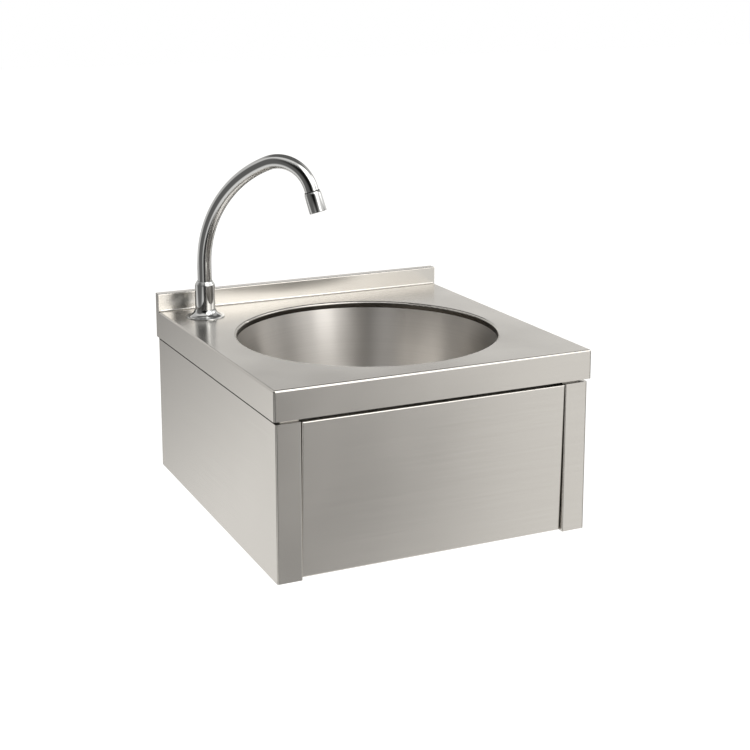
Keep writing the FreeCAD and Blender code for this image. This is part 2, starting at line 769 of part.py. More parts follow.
def makeValve():
    """Body with its threaded nose, guide and chamber, and an inlet port at the bottom."""
    body = turned("valve_body", [
        ("stemRadius + runClearance", f"-{noseFront}"), ("valveNeck - edgeBreak", f"-{noseFront}"),
        ("valveNeck", f"-{noseFront} + edgeBreak"), ("valveNeck", f"-{bracketBack}"),
        ("valveRadius", f"-{bracketBack}"),
        ("valveRadius", f"-{valveRear}"), ("chamberRadius", f"-{valveRear}"),
        ("chamberRadius", f"-{chamberFront}"),
        ("stemRadius + runClearance", f"-{chamberFront}")])
    port = ring(sketchOn(body, "XZ", "-inletDrop"), "0", f"-{portLine}", "portRadius")
    pad(body, port, "inletDrop - chamberRadius - edgeBreak")
    bore = ring(sketchOn(body, "XZ", "2 * edgeBreak - chamberRadius"), "0", f"-{portLine}", "portBore")
    pocket(body, bore, "inletDrop")
    alongValve(body)
    nut = hexNut("valve_lock_nut", "lockNutFlats", "lockNutHeight", "valveNeck + runClearance")
    seat(nut, f"-{valveSide}", f"-{bracketBack} - bracketSheet - lockNutHeight", "-valveDrop", alongY)
    bossRadius = "chamberRadius - runClearance"
    cap = turned("valve_cap", [
        ("portBore", f"-{valveRear} - capBoss"), (bossRadius, f"-{valveRear} - capBoss"),
        (bossRadius, f"-{valveRear}"), ("valveRadius", f"-{valveRear}"),
        ("valveRadius", f"-{capRear} - edgeBreak"), ("valveRadius - edgeBreak", f"-{capRear}"),
        ("portRadius", f"-{capRear}"),
        ("portRadius", f"-{outletEnd}"), ("portBore", f"-{outletEnd}")])
    return [body, nut, alongValve(cap)]


def makePlunger():
    """Domed push rod with its piston, the piston's ring seal, and the return spring behind it."""
    crown = "(domeRadius - sqrt(domeRadius ^ 2 - headRadius ^ 2))"
    piston = "(chamberRadius - runClearance)"
    sealRoot = "(chamberRadius - runClearance - 2 * sealRadius - sealSlack)"
    middle = f"(-{pistonFront} + pistonLength / 2)"
    plunger = turned("valve_plunger", [
        ("0", f"-{plungerTip}"), ("headRadius", f"-{plungerTip} + {crown}", "domeRadius", 1),
        ("headRadius", f"-{plungerTip} + headLength"), ("stemRadius", f"-{plungerTip} + headLength"),
        ("stemRadius", f"-{pistonFront}"), (piston, f"-{pistonFront}"),
        (piston, f"{middle} - sealRadius - sealSlack"),
        (sealRoot, f"{middle} - sealRadius - sealSlack"), (sealRoot, f"{middle} + sealRadius + sealSlack"),
        (piston, f"{middle} + sealRadius + sealSlack"), (piston, f"-{pistonRear}"),
        ("stemRadius", f"-{pistonRear}"),
        ("stemRadius", f"-{pistonRear} + pistonTail"), ("0", f"-{pistonRear} + pistonTail")])
    seal = primitive("Torus", "plunger_seal", Radius1="chamberRadius - runClearance - sealRadius",
                     Radius2="sealRadius")
    seat(seal, f"-{valveSide}", middle, "-valveDrop", alongY)
    front = value(f"-{pistonRear} + seatGap + springWire")
    length = value(f"-{valveRear} - capBoss - seatGap - springWire") - front
    turns = value("springTurns")
    helix = Part.makeHelix(length / turns, length, value("springRadius"))
    start = FreeCAD.Vector(value("springRadius"), 0, 0)
    wire = Part.Wire([Part.makeCircle(value("springWire"), start, FreeCAD.Vector(0, 1, 0))])
    spring = doc.addObject("Part::Feature", "plunger_spring")
    spring.Shape = Part.Wire(helix.Edges).makePipeShell([wire], True, True)
    spring.Placement = FreeCAD.Placement(
        FreeCAD.Vector(value(f"-{valveSide}"), front, value("-valveDrop")), alongY)
    return [alongValve(plunger), seal, spring]


# Stations of the mixer along Z, as depths below the deck.
mixerTop = "(valveDrop + inletDrop)"
mixerShoulder = f"({mixerTop} + mixerNeck)"
mixerFoot = f"({mixerShoulder} + mixerHeight)"
inletLine = f"({mixerShoulder} + mixerHeight / 2)"
knobTop = f"({mixerFoot} + knobGap)"
knobFoot = f"({knobTop} + knobHeight)"
inletFoot = f"({mixerFoot} + inletLength)"


def underValve(piece, z="0"):
    return seat(piece, f"-{valveSide}", f"-{portLine}", z)


def makeMixer():
    """Block with a neck up to the valve and two threaded inlets below, and the nut that joins it to the valve."""
    body = newBody("mixer_body")
    end = "(inletSpread + mixerRadius)"
    block = trace(sketchOn(body, "XY", f"-{mixerFoot}"), oblong(f"-{end}", end, "-mixerRadius", "mixerRadius"))
    pad(body, block, "mixerHeight")
    foot, top = value(f"-{mixerFoot}"), value(f"-{mixerShoulder}")
    fold(body, "mixerRadius - 3 * edgeBreak", lambda box: box.ZLength > 1)
    fold(body, "edgeBreak", lambda box: box.ZMax < foot + 0.01 or box.ZMin > top - 0.01)
    pad(body, ring(sketchOn(body, "XY", f"-{mixerShoulder}"), "0", "0", "portRadius - looseFit"), "mixerNeck")
    inlets = sketchOn(body, "XY", f"-{inletFoot}")
    passages = sketchOn(body, "XY", f"-{inletLine}")
    for across in ("-inletSpread", "inletSpread"):
        ring(inlets, across, "0", "portRadius")
        ring(passages, across, "0", "galleryRadius")
    pad(body, inlets, "inletLength")
    pocket(body, passages, f"{inletFoot} - {inletLine} + 1")
    gallery = ring(sketchOn(body, "YZ", "inletSpread"), "0", f"-{inletLine}", "galleryRadius")
    pocket(body, gallery, "2 * inletSpread")
    port = ring(sketchOn(body, "XY", f"-{mixerTop}"), "0", "0", "portBore")
    pocket(body, port, f"{inletLine} - {mixerTop} + drumSill")
    pocket(body, ring(sketchOn(body, "XY", f"-{inletLine}"), "0", "0", "spindleRadius + runClearance"),
           "mixerHeight")
    nut = hexNut("mixer_union_nut", "unionFlats", "unionHeight", "portRadius + runClearance")
    foot = f"-{inletFoot} + edgeBreak"
    checks = []
    for name, across in (("check_valve_left", f"-{valveSide} - inletSpread"),
                         ("check_valve_right", f"-{valveSide} + inletSpread")):
        check = washer(name, "0.6 * portBore", "galleryRadius - looseFit", foot, f"{foot} + checkLength")
        checks.append(seat(check, across, f"-{portLine}", "0"))
    return [underValve(body), underValve(nut, f"-{mixerShoulder}"), group("inlet_check_valves", checks)]


def makeKnob():
    """Spindle with its regulating drum, fluted knob and the screw that holds it."""
    drumFoot = f"({inletLine} + drumSill - seatGap)"
    web = f"({knobFoot} - knobRecess)"
    tip = f"({web} - seatGap)"
    tapping = "(knobScrew + runClearance)"
    spindle = turned("mixer_spindle", [
        ("0", f"-{tip} + tappingDepth"), (tapping, f"-{tip} + tappingDepth"), (tapping, f"-{tip}"),
        ("spindleRadius", f"-{tip}"),
        ("spindleRadius", f"-{drumFoot}"), ("portBore - runClearance", f"-{drumFoot}"),
        ("portBore - runClearance", f"-{inletLine} + drumRise"), ("0", f"-{inletLine} + drumRise")])
    hub = "(spindleRadius + tightFit)"
    knob = turned("temperature_knob", [
        (hub, f"-{knobTop}"), (hub, f"-{web}"), ("knobHub", f"-{web}"), ("knobHub", f"-{knobFoot}"),
        ("knobRadius - edgeBreak", f"-{knobFoot}"), ("knobRadius", f"-{knobFoot} + edgeBreak"),
        ("knobRadius", f"-{knobTop} - edgeBreak"), ("knobRadius - edgeBreak", f"-{knobTop}")])
    groove = ring(sketchOn(knob, "XY", f"-{knobTop}"), "knobRadius + fluteRadius / 2", "0", "fluteRadius")
    flute = pocket(knob, groove, "knobHeight")
    around(knob, flute, "knobFlutes")
    screw = turned("knob_screw", [
        ("0", f"-{web} + tappingDepth - edgeBreak"), ("knobScrew", f"-{web} + tappingDepth - edgeBreak"),
        ("knobScrew", f"-{web}"), ("knobScrewHead", f"-{web}"),
        ("knobScrewHead - edgeBreak / 2", f"-{web} - knobHeadRise"),
        ("0", f"-{web} - knobHeadRise")])
    return [underValve(spindle), underValve(knob), underValve(screw)]


def bentPath(points):
    """Straight runs joined by tangent arcs that take most of the shorter run beside them."""
    edges = []
    here = points[0]
    for before, corner, after in zip(points, points[1:], points[2:]):
        cut = 0.45 * min((corner - before).Length, (after - corner).Length)
        arriving = (corner - before).normalize()
        leaving = (after - corner).normalize()
        inward = (leaving - arriving).normalize()
        radius = cut / math.tan(arriving.getAngle(leaving) / 2)
        start = corner - arriving * cut
        end = corner + leaving * cut
        crest = corner + inward * ((cut ** 2 + radius ** 2) ** 0.5 - radius)
        edges.append(Part.LineSegment(here, start).toShape())
        edges.append(Part.Arc(start, crest, end).toShape())
        here = end
    edges.append(Part.LineSegment(here, points[-1]).toShape())
    return Part.Wire(edges)


def makeRiser():
    """Tube from the valve's outlet, back under the bowl and up to the shank, with a nut at each end."""
    level = "-valveDrop"
    points = [vector(f"-{valveSide}", f"-{outletEnd}", level),
              vector(f"-{valveSide}", "-tapSetback - riserReach", level),
              vector(f"-{tapSide}", "-tapSetback", level),
              vector(f"-{tapSide}", "-tapSetback", "-shankDrop - shankTail")]
    path = bentPath(points)
    walls = [Part.Wire([Part.makeCircle(value(radius), points[0], FreeCAD.Vector(0, 1, 0))])
             for radius in ("riserRadius", "riserBore")]
    outer, inner = [path.makePipeShell([wall], True, False) for wall in walls]
    tube = doc.addObject("Part::Feature", "riser_tube")
    tube.Shape = outer.cut(inner)
    tube.Placement = FreeCAD.Placement()
    nuts = [hexNut(name, "riserFlats", "riserNutLength", "portRadius + runClearance",
                   "riserRadius + runClearance", "riserThroat") for name in ("riser_nut_valve", "riser_nut_shank")]
    backOff = "(riserNutLength - riserThroat - riserSeat)"
    seat(nuts[0], f"-{valveSide}", f"-{outletEnd} - {backOff}", level, alongY)
    seat(nuts[1], f"-{tapSide}", "-tapSetback", f"-shankDrop - shankTail + {backOff}",
         FreeCAD.Rotation(FreeCAD.Vector(1, 0, 0), 180))
    return [tube, group("riser_nuts", nuts)]


def onTap(piece, z="0", rotation=alongZ):
    return seat(piece, f"-{tapSide}", "-tapSetback", z, rotation)


def ringGrooves():
    """Two grooves inside the cup, from the top down."""
    wall = "(spoutRadius + runClearance)"
    root = f"({wall} + 2 * ringRadius + sealSlack)"
    corners = []
    for centre in ("upperRing", "lowerRing"):
        corners += [(wall, f"{centre} + ringGroove / 2"), (root, f"{centre} + ringGroove / 2"),
                    (root, f"{centre} - ringGroove / 2"), (wall, f"{centre} - ringGroove / 2")]
    return corners


def makeShank():
    """Threaded stem through the deck, with the cup that the spout turns in, and what clamps it."""
    wall = "(spoutRadius + runClearance)"
    tail = "(shankDrop + shankTail)"
    shank = turned("spout_shank", [
        ("shankBore", f"-{tail}"), ("portRadius", f"-{tail}"), ("portRadius", "-shankDrop"),
        ("shankRadius", "-shankDrop"), ("shankRadius", "gasketThick"), ("shoulderRadius", "gasketThick"),
        ("shoulderRadius", "gasketThick + shoulderHeight"), ("cupRadius", "gasketThick + shoulderHeight"),
        ("cupRadius", "cupTop"), (wall, "cupTop")] + ringGrooves() + [(wall, "cupFloor"), ("shankBore", "cupFloor")])
    hole = "shankRadius + boltClearance"
    underside = "-steelSheet - underGasket"
    gasket = washer("deck_gasket", hole, "gasketRadius", "0", "gasketThick")
    underGasket = washer("under_deck_gasket", hole, "underRadius", underside, "-steelSheet")
    underWasher = washer("under_deck_washer", hole, "underRadius", f"{underside} - underWasher", underside)
    nut = hexNut("shank_nut", "backNutFlats", "backNutHeight", "shankRadius + runClearance")
    rings = [primitive("Torus", name, Radius1=f"{wall} + ringRadius + tightFit", Radius2="ringRadius")
             for name in ("o_ring_lower", "o_ring_upper")]
    onTap(rings[0], "lowerRing")
    onTap(rings[1], "upperRing")
    onTap(nut, f"{underside} - underWasher - backNutHeight")
    return [onTap(shank), onTap(gasket), onTap(underGasket), onTap(underWasher), nut, group("spout_o_rings", rings)]


def makeBase():
    """Flared chrome base and the collar that holds the spout in its cup."""
    recess = "(shoulderRadius + seatGap)"
    floor = "(gasketThick + looseFit)"
    ceiling = "(gasketThick + shoulderHeight + seatGap)"
    bore = "(cupRadius + 2 * looseFit)"
    flange = turned("spout_flange", [
        (bore, ceiling), (recess, ceiling), (recess, floor), ("gasketRadius + gasketRoom", floor),
        ("gasketRadius + gasketRoom", "0"), ("flangeRadius", "0"), ("flangeRadius", "flangeEdge - softEdge"),
        ("flangeRadius - softEdge", "flangeEdge"), ("collarRadius + softEdge", "flangeHeight", "flareBend", -1),
        (bore, "flangeHeight")])
    ceilingTop = "(collarTop - collarShoulder)"
    collar = turned("spout_collar", [
        ("cupRadius + runClearance", "flangeHeight"), ("collarRadius - softEdge", "flangeHeight"),
        ("collarRadius", "flangeHeight + softEdge"), ("collarRadius", ceilingTop),
        ("spoutRadius + seatGap + collarRim", "collarTop"), ("spoutRadius + seatGap", "collarTop"),
        ("spoutRadius + seatGap", ceilingTop), ("cupRadius + runClearance", ceilingTop)])
    keeper = washer("swivel_ring", "spoutRadius + tightFit", "cupRadius - 2 * looseFit", "cupTop + seatGap",
                    "cupTop + seatGap + swivelRing")
    return [onTap(flange), onTap(collar), onTap(keeper)]


# End of the gooseneck in its own upright plane: reach and height.
crestReach = "(wideBend - wideBend * cos(wideSweep))"
crestHeight = "(spoutRise + wideBend * sin(wideSweep))"
fullSweep = "(wideSweep + tightSweep)"
tipReach = f"({crestReach} + tightBend * (cos(wideSweep) - cos({fullSweep})))"
tipHeight = f"({crestHeight} + tightBend * (sin({fullSweep}) - sin(wideSweep)))"
straight = "(spoutEnd + spoutTuck)"
endReach = f"({tipReach} + {straight} * sin({fullSweep}))"
endHeight = f"({tipHeight} + {straight} * cos({fullSweep}))"


def makeSpout():
    """Tube swept along a wide bend up, a tight bend down and a short straight end."""
    body = newBody("spout_tube")
    foot = "(cupFloor + seatGap)"
    section = sketchOn(body, "XY", foot)
    ring(section, "0", "0", "spoutRadius")
    ring(section, "0", "0", "spoutBore")
    spine = trace(sketchOn(body, "XZ"), [
        ("0", foot), ("0", "spoutRise"), (crestReach, crestHeight, "wideBend", -1),
        (tipReach, tipHeight, "tightBend", -1), (endReach, endHeight)], closed=False)
    pipe = body.newObject("PartDesign::AdditivePipe", "spout_sweep")
    pipe.Profile = section
    pipe.Spine = (spine, [""])
    return onTap(body, "0", FreeCAD.Rotation(FreeCAD.Vector(0, 0, 1), value("-spoutAim")))


def onNozzle(piece):
    """Puts a round piece on the end of the tube, pointing the way the water leaves."""
    aim = FreeCAD.Rotation(FreeCAD.Vector(0, 0, 1), value("-spoutAim"))
    tilt = FreeCAD.Rotation(FreeCAD.Vector(0, 1, 0), value(fullSweep))
    return seat(piece, f"-{tapSide} + {endReach} * cos(spoutAim)", f"-tapSetback - {endReach} * sin(spoutAim)",
                endHeight, aim.multiply(tilt))


def makeNozzle():
    """Conical housing over the tube's end, a washer inside it and the perforated insert."""
    tip = "(nozzleLength - spoutTuck)"
    chamber = "(nozzleTip - nozzleWall)"
    sleeve = "(spoutRadius + tightFit)"
    fitted = f"{chamber} - looseFit"
    washerFoot = "(softEdge + looseFit + washerThick)"
    meshTop = f"({washerFoot} + looseFit)"
    meshFoot = f"({tip} - nozzleLip - looseFit)"
    housing = turned("aerator_housing", [
        (sleeve, "-spoutTuck"), ("nozzleTop - softEdge", "-spoutTuck"), ("nozzleTop", "-spoutTuck + softEdge"),
        ("nozzleTip", f"{tip} - 2 * softEdge"), ("nozzleTip - softEdge", tip), ("nozzleMouth", tip),
        ("nozzleMouth", f"{tip} - nozzleLip"), (chamber, f"{tip} - nozzleLip"), (chamber, "softEdge"),
        (sleeve, "softEdge")])
    seal = washer("aerator_washer", "spoutBore", fitted, "softEdge + looseFit", washerFoot)
    insert = turned("aerator_insert", [("0", meshTop), (fitted, meshTop), (fitted, meshFoot), ("0", meshFoot)])
    hole = pocket(insert, ring(sketchOn(insert, "XY", tip), "meshRing", "0", "meshHole"), tip)
    around(insert, hole, "meshHoles")
    return [onNozzle(housing), onNozzle(seal), onNozzle(insert)]


def onSeat(piece):
    """Puts a piece on the bowl's drain axis, with its own zero at the waste seat."""
    return seat(piece, "0", "-bowlSetback", f"-{wasteSeat}")


def makeWaste():
    """Strainer and screw from above, gasket and threaded body from below, washer between."""
    rim = "topWasher"
    dish = "(topWasher - dishDrop)"
    strainer = turned("waste_strainer", [
        ("screwRadius + boltClearance", dish), ("strainerDish + softEdge", dish), ("drainRadius - edgeBreak", rim),
        ("wasteFlange", rim), ("wasteFlange", f"{rim} + strainerSheet / 2"),
        ("wasteFlange - strainerSheet / 2", f"{rim} + strainerSheet"),
        ("drainRadius - softEdge", f"{rim} + strainerSheet"), ("strainerDish", f"{dish} + strainerSheet"),
        ("screwRadius + boltClearance", f"{dish} + strainerSheet")])
    for spread, count in (("innerRing", "innerHoles"), ("outerRing", "outerHoles")):
        hole = pocket(strainer, ring(sketchOn(strainer, "XY", "topWasher"), spread, "0", "strainerHole"),
                      "dishDrop + 1")
        around(strainer, hole, count)
    screw = turned("waste_screw", [
        ("0", "-hubDrop"), ("screwRadius", "-hubDrop"), ("screwRadius", f"{dish} + strainerSheet"),
        ("screwHead", f"{dish} + strainerSheet"), ("screwHead - edgeBreak", f"{dish} + strainerSheet + screwRise"),
        ("0", f"{dish} + strainerSheet + screwRise")])
    mouth = "(drainRadius + seatMargin)"
    topWasher = washer("waste_top_washer", mouth, "wasteFlange - seatMargin", "0", "topWasher")
    underside = "(bowlSheet + wasteGasket)"
    gasket = washer("waste_gasket", mouth, "wasteFlange", f"-{underside}", "-bowlSheet")
    rimFoot = f"({underside} + wasteRim)"
    body = turned("waste_body", [
        (mouth, f"-{underside}"), ("wasteFlange", f"-{underside}"), ("wasteFlange", f"-{rimFoot}"),
        ("tailRadius + funnelStep", f"-{rimFoot} - funnelStep"), ("tailRadius", "-funnelDrop"),
        ("tailRadius", "-tailDrop + edgeBreak"), ("tailRadius - edgeBreak", "-tailDrop"), ("tailBore", "-tailDrop"),
        ("tailBore", "-funnelDrop + funnelStep"), (mouth, f"-{rimFoot}")])
    arm = oblong("hubRadius - edgeBreak", mouth, "-spokeWidth / 2", "spokeWidth / 2")
    spoke = pad(body, trace(sketchOn(body, "XY", "-hubDrop"), arm), "spokeHeight")
    around(body, spoke, "3")
    pad(body, ring(sketchOn(body, "XY", "-hubDrop"), "0", "0", "hubRadius"), "hubDrop - hubTop")
    pocket(body, ring(sketchOn(body, "XY", "-hubTop"), "0", "0", "screwRadius + runClearance"), "hubDrop")
    return [onSeat(piece) for piece in (strainer, screw, topWasher, gasket, body)]


rightPanel = makeSidePanel()
parts = [makeDeck(), makeBowl(), rightPanel, mirrored("left_side_panel", rightPanel), makeFrontRail(),
         makeWallFrame(), makeKneePanel(), makePushPad(), makeValveBracket(), makeSpout()]
for assembly in (makeHinge, makeStops, makeValve, makePlunger, makeMixer, makeKnob, makeRiser, makeShank, makeBase,
                 makeNozzle, makeWaste):
    parts += assembly()
doc.recompute()

for thing in doc.Objects:
    if "Invalid" in thing.State or "Error" in thing.State:
        raise RuntimeError(f"{thing.Label} did not build: {thing.State}")
os.makedirs("parts", exist_ok=True)
for part in parts:
    if part.Shape.isNull() or not part.Shape.isValid() or not part.Shape.Solids:
        raise RuntimeError(f"{part.Label} has no sound solid")
    part.Shape.exportStep(f"parts/{part.Label}.step")
print(len(parts), "pieces written")
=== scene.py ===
import math

import bmesh
import bpy
import numpy as np
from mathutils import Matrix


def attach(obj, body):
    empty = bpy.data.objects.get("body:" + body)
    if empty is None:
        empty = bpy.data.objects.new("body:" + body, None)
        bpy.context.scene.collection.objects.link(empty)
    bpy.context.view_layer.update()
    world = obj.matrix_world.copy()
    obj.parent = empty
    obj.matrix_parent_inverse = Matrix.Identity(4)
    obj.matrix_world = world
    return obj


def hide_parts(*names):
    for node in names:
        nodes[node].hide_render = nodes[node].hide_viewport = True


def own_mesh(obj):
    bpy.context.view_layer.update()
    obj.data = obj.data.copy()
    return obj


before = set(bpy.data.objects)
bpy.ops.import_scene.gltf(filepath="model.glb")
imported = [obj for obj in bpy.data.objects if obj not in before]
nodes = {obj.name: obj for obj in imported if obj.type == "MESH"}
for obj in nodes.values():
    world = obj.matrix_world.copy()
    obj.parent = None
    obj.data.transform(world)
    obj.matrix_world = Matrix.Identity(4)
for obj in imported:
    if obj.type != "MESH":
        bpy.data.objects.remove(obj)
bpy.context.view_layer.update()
print("solids loaded:", len(nodes))

millimetre = 0.001
weldDistance = 1e-7  # in metres, so that only points that coincide are merged
upright = np.eye(3)


# Points along straight runs whose corners are rounded: each corner is x, y and, where it is rounded, a radius
# and a number of steps. An arc leaves its first run at the tangent point and turns evenly into the next run.
def roundedPath(corners):
    points = []
    for place, corner in enumerate(corners):
        here = np.array(corner[:2], float)
        if len(corner) == 2:
            points.append(here[None])
            continue
        radius, steps = corner[2:]
        arriving = here - np.array(corners[place - 1][:2], float)
        leaving = np.array(corners[(place + 1) % len(corners)][:2], float) - here
        arriving /= np.linalg.norm(arriving)
        leaving /= np.linalg.norm(leaving)
        cross = arriving[0] * leaving[1] - arriving[1] * leaving[0]
        turn = math.atan2(abs(cross), float(arriving @ leaving))
        side = np.array([-arriving[1], arriving[0]]) * (1 if cross > 0 else -1)
        angles = np.linspace(0, turn, steps + 1)[:, None]
        start = here - arriving * radius * math.tan(turn / 2)
        points.append(start + radius * (np.sin(angles) * arriving + (1 - np.cos(angles)) * side))
    return np.concatenate(points)


# Arc of a radius from one point to another, with its centre to the right of the way there.
def arcBetween(start, end, radius, steps):
    start, end = np.array(start, float), np.array(end, float)
    way = end - start
    half = np.linalg.norm(way) / 2
    right = np.array([way[1], -way[0]]) / (2 * half)
    centre = (start + end) / 2 + right * math.sqrt(radius ** 2 - half ** 2)
    first, last = (math.atan2(*(point - centre)[::-1]) for point in (start, end))
    sweep = (last - first + math.pi) % (2 * math.pi) - math.pi
    angles = np.linspace(first, first + sweep, steps)
    return centre + radius * np.stack([np.cos(angles), np.sin(angles)], axis=-1)


# A ring turned about an axis: each profile point (radius, station) goes round it at even angles. The axes are
# two directions across and the one along.
def turnedRing(profile, origin, axes=upright, steps=192):
    angles = np.linspace(0, 2 * math.pi, steps, endpoint=False)[None, :, None]
    radius, station = profile[:, 0, None, None], profile[:, 1, None, None]
    spoke = np.cos(angles) * axes[0] + np.sin(angles) * axes[1]
    return (np.array(origin, float) + radius * spoke + station * axes[2]) * millimetre


# A closed surface from a grid of points whose columns wrap round, with its faces turned outwards. Its
# rows wrap round too, unless the first and last are gathered into points.
def wrappedSurface(name, grid, gathered=False, sharpAngle=40):
    rows, columns = grid.shape[:2]
    index = np.arange(rows * columns).reshape(rows, columns)
    below = np.roll(index, -1, axis=0)
    faces = np.stack([index, below, np.roll(below, -1, axis=1), np.roll(index, -1, axis=1)], axis=-1)
    if gathered:
        faces = faces[:-1]
    mesh = bpy.data.meshes.new(name)
    mesh.from_pydata(grid.reshape(-1, 3).tolist(), [], faces.reshape(-1, 4).tolist())
    shell = bmesh.new()
    shell.from_mesh(mesh)
    bmesh.ops.remove_doubles(shell, verts=shell.verts, dist=weldDistance)
    bmesh.ops.recalc_face_normals(shell, faces=shell.faces)
    shell.to_mesh(mesh)
    shell.free()
    mesh.shade_smooth()
    mesh.set_sharp_from_angle(angle=math.radians(sharpAngle))
    piece = bpy.data.objects.new(name, mesh)
    bpy.context.scene.collection.objects.link(piece)
    return piece


# Makes a piece from its grid, in its finish, riding on a body, and in place of a CAD node where one is named.
def dress(name, grid, finish, body, node=None, gathered=False):
    piece = wrappedSurface(name, grid, gathered)
    piece.data.materials.append(finish)
    if node:
        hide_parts(node)
    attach(piece, body)
    return piece


# sRGB hex to linear light.
def linear(hexColour):
    channels = [int(hexColour[place:place + 2], 16) / 255 for place in (1, 3, 5)]
    return [c / 12.92 if c <= 0.04045 else ((c + 0.055) / 1.055) ** 2.4 for c in channels] + [1.0]


# Adds a node. Its settings are sockets or attributes, and each link goes from another node's output to
# one socket.
def addNode(tree, kind, settings=None, links=None):
    node = tree.nodes.new(kind)
    for name, setting in (settings or {}).items():
        if isinstance(name, int) or name in node.inputs:
            node.inputs[name].default_value = setting
        else:
            setattr(node, name, setting)
    for name, (source, output) in (links or {}).items():
        tree.links.new(source.outputs[output], node.inputs[name])
    return node


def newMaterial(name):
    material = bpy.data.materials.new(name)
    material.use_nodes = True
    material.node_tree.nodes.clear()
    return material, material.node_tree


def finishMaterial(tree, shader):
    addNode(tree, "ShaderNodeOutputMaterial", links={"Surface": (shader, "BSDF")})


# Two close tones mixed by a pattern.
def mixTones(tree, look, pattern):
    tone = addNode(tree, "ShaderNodeMix", {"data_type": "RGBA"}, {0: pattern})
    tone.inputs[6].default_value = linear(look["darkColour"])
    tone.inputs[7].default_value = linear(look["colour"])
    return (tone, 2)


# Stainless sheet brushed with a 240 grit belt: fine parallel scratches that smear a reflection across the
# grain. The scratches are about 0.08 mm wide, drawn here as strokes 2.4 mm wide and 150 mm long so that
# they show at all, and the belt leaves bands of slightly different gloss.
brushedSheet = {
    "colour": "#D6D3CE",
    "darkColour": "#CFCCC7",
    # tone of the painted dark reflection inside the bowl's neck
    "neckPaintedReflection": "#57534D",
    "neckDepth": -3,
    "neckBlend": 1.5,
    "roughness": 0.24,
    "glossChange": 0.03,
    "anisotropy": 0.5,
    "grainWidth": 2.4,
    "grainLength": 150,
    "blotchSize": 120,
    "bump": 0.03,
    "reliefDepth": 0.05,
}


# The sheen of a brushed surface: a roughness that wanders with the blotches, and the scratches as a faint
# relief.
def brushedSheen(tree, look, blotches, scratches):
    gloss = addNode(tree, "ShaderNodeMapRange", {"From Min": 0.3, "From Max": 0.7,
                    "To Min": look["roughness"] - look["glossChange"],
                    "To Max": look["roughness"] + look["glossChange"]}, {"Value": (blotches, "Fac")})
    relief = addNode(tree, "ShaderNodeBump",
                     {"Strength": look["bump"], "Distance": look["reliefDepth"] * millimetre},
                     {"Height": (scratches, "Fac")})
    return {"Roughness": (gloss, "Result"), "Normal": (relief, "Normal")}


# Where a neck is given (centre and radius), the sheet inside it gets a painted dark reflection in place of its
# own tone: full where the distance from its axis is below the radius and the height is under the neck's depth.
def brushedStainless(name, grain, across, look, neck=None):
    material, tree = newMaterial(name)
    place = addNode(tree, "ShaderNodeTexCoord")
    fine, long = 1 / (look["grainWidth"] * millimetre), 1 / (look["grainLength"] * millimetre)
    scale = [long if along else fine for along in grain]
    stretched = addNode(tree, "ShaderNodeMapping", {"Scale": scale}, {"Vector": (place, "Object")})
    scratches = addNode(tree, "ShaderNodeTexNoise", {"Scale": 1.0, "Detail": 3.0, "Roughness": 0.6},
                        {"Vector": (stretched, "Vector")})
    blotches = addNode(tree, "ShaderNodeTexNoise",
                       {"Scale": 1 / (look["blotchSize"] * millimetre), "Detail": 2.0},
                       {"Vector": (place, "Object")})
    sheen = brushedSheen(tree, look, blotches, scratches)
    crossGrain = addNode(tree, "ShaderNodeCombineXYZ", dict(zip("XYZ", across)))
    tone = mixTones(tree, look, (scratches, "Fac"))
    # Inside the neck the tone turns into a painted dark reflection, full below the neck's depth.
    if neck:
        centre, radius = neck
        depth = look["neckDepth"]
        centred = addNode(tree, "ShaderNodeVectorMath", {"operation": "SUBTRACT",
                          1: [value * millimetre for value in centre]}, {0: (place, "Object")})
        parts = addNode(tree, "ShaderNodeSeparateXYZ", links={"Vector": (centred, "Vector")})
        flat = addNode(tree, "ShaderNodeCombineXYZ", links={"X": (parts, "X"), "Y": (parts, "Y")})
        reach = addNode(tree, "ShaderNodeVectorMath", {"operation": "LENGTH"}, {0: (flat, "Vector")})
        within = addNode(tree, "ShaderNodeMapRange", {"From Min": (radius + look["neckBlend"]) * millimetre,
                         "From Max": radius * millimetre}, {"Value": (reach, "Value")})
        under = addNode(tree, "ShaderNodeMapRange", {"From Min": 0.3 * depth * millimetre,
                        "From Max": depth * millimetre}, {"Value": (parts, "Z")})
        share = addNode(tree, "ShaderNodeMath", {"operation": "MULTIPLY"},
                        {0: (within, "Result"), 1: (under, "Result")})
        tone = (addNode(tree, "ShaderNodeMix", {"data_type": "RGBA"}, {0: (share, "Value"), 6: tone}), 2)
        tone[0].inputs[7].default_value = linear(look["neckPaintedReflection"])
    shader = addNode(tree, "ShaderNodeBsdfPrincipled", {"Metallic": 1.0, "Anisotropic": look["anisotropy"]},
                     {"Base Color": tone, "Tangent": (crossGrain, "Vector"), **sheen})
    finishMaterial(tree, shader)
    return material


# Drawn stainless bowl, brushed round and round with a flap wheel: the scratches are circles about its
# axis, so a lamp's reflection runs up and down the wall as a bright or dark streak. They are drawn 2 mm
# apart so that they show at all.
drawnBowl = {
    "colour": "#D8D5D1",
    "darkColour": "#CCC9C5",
    "roughness": 0.31,
    "glossChange": 0.02,
    "anisotropy": 0.9,
    "grainWidth": 2.0,
    "blotchSize": 60,
    "bump": 0.03,
    "reliefDepth": 0.05,
}


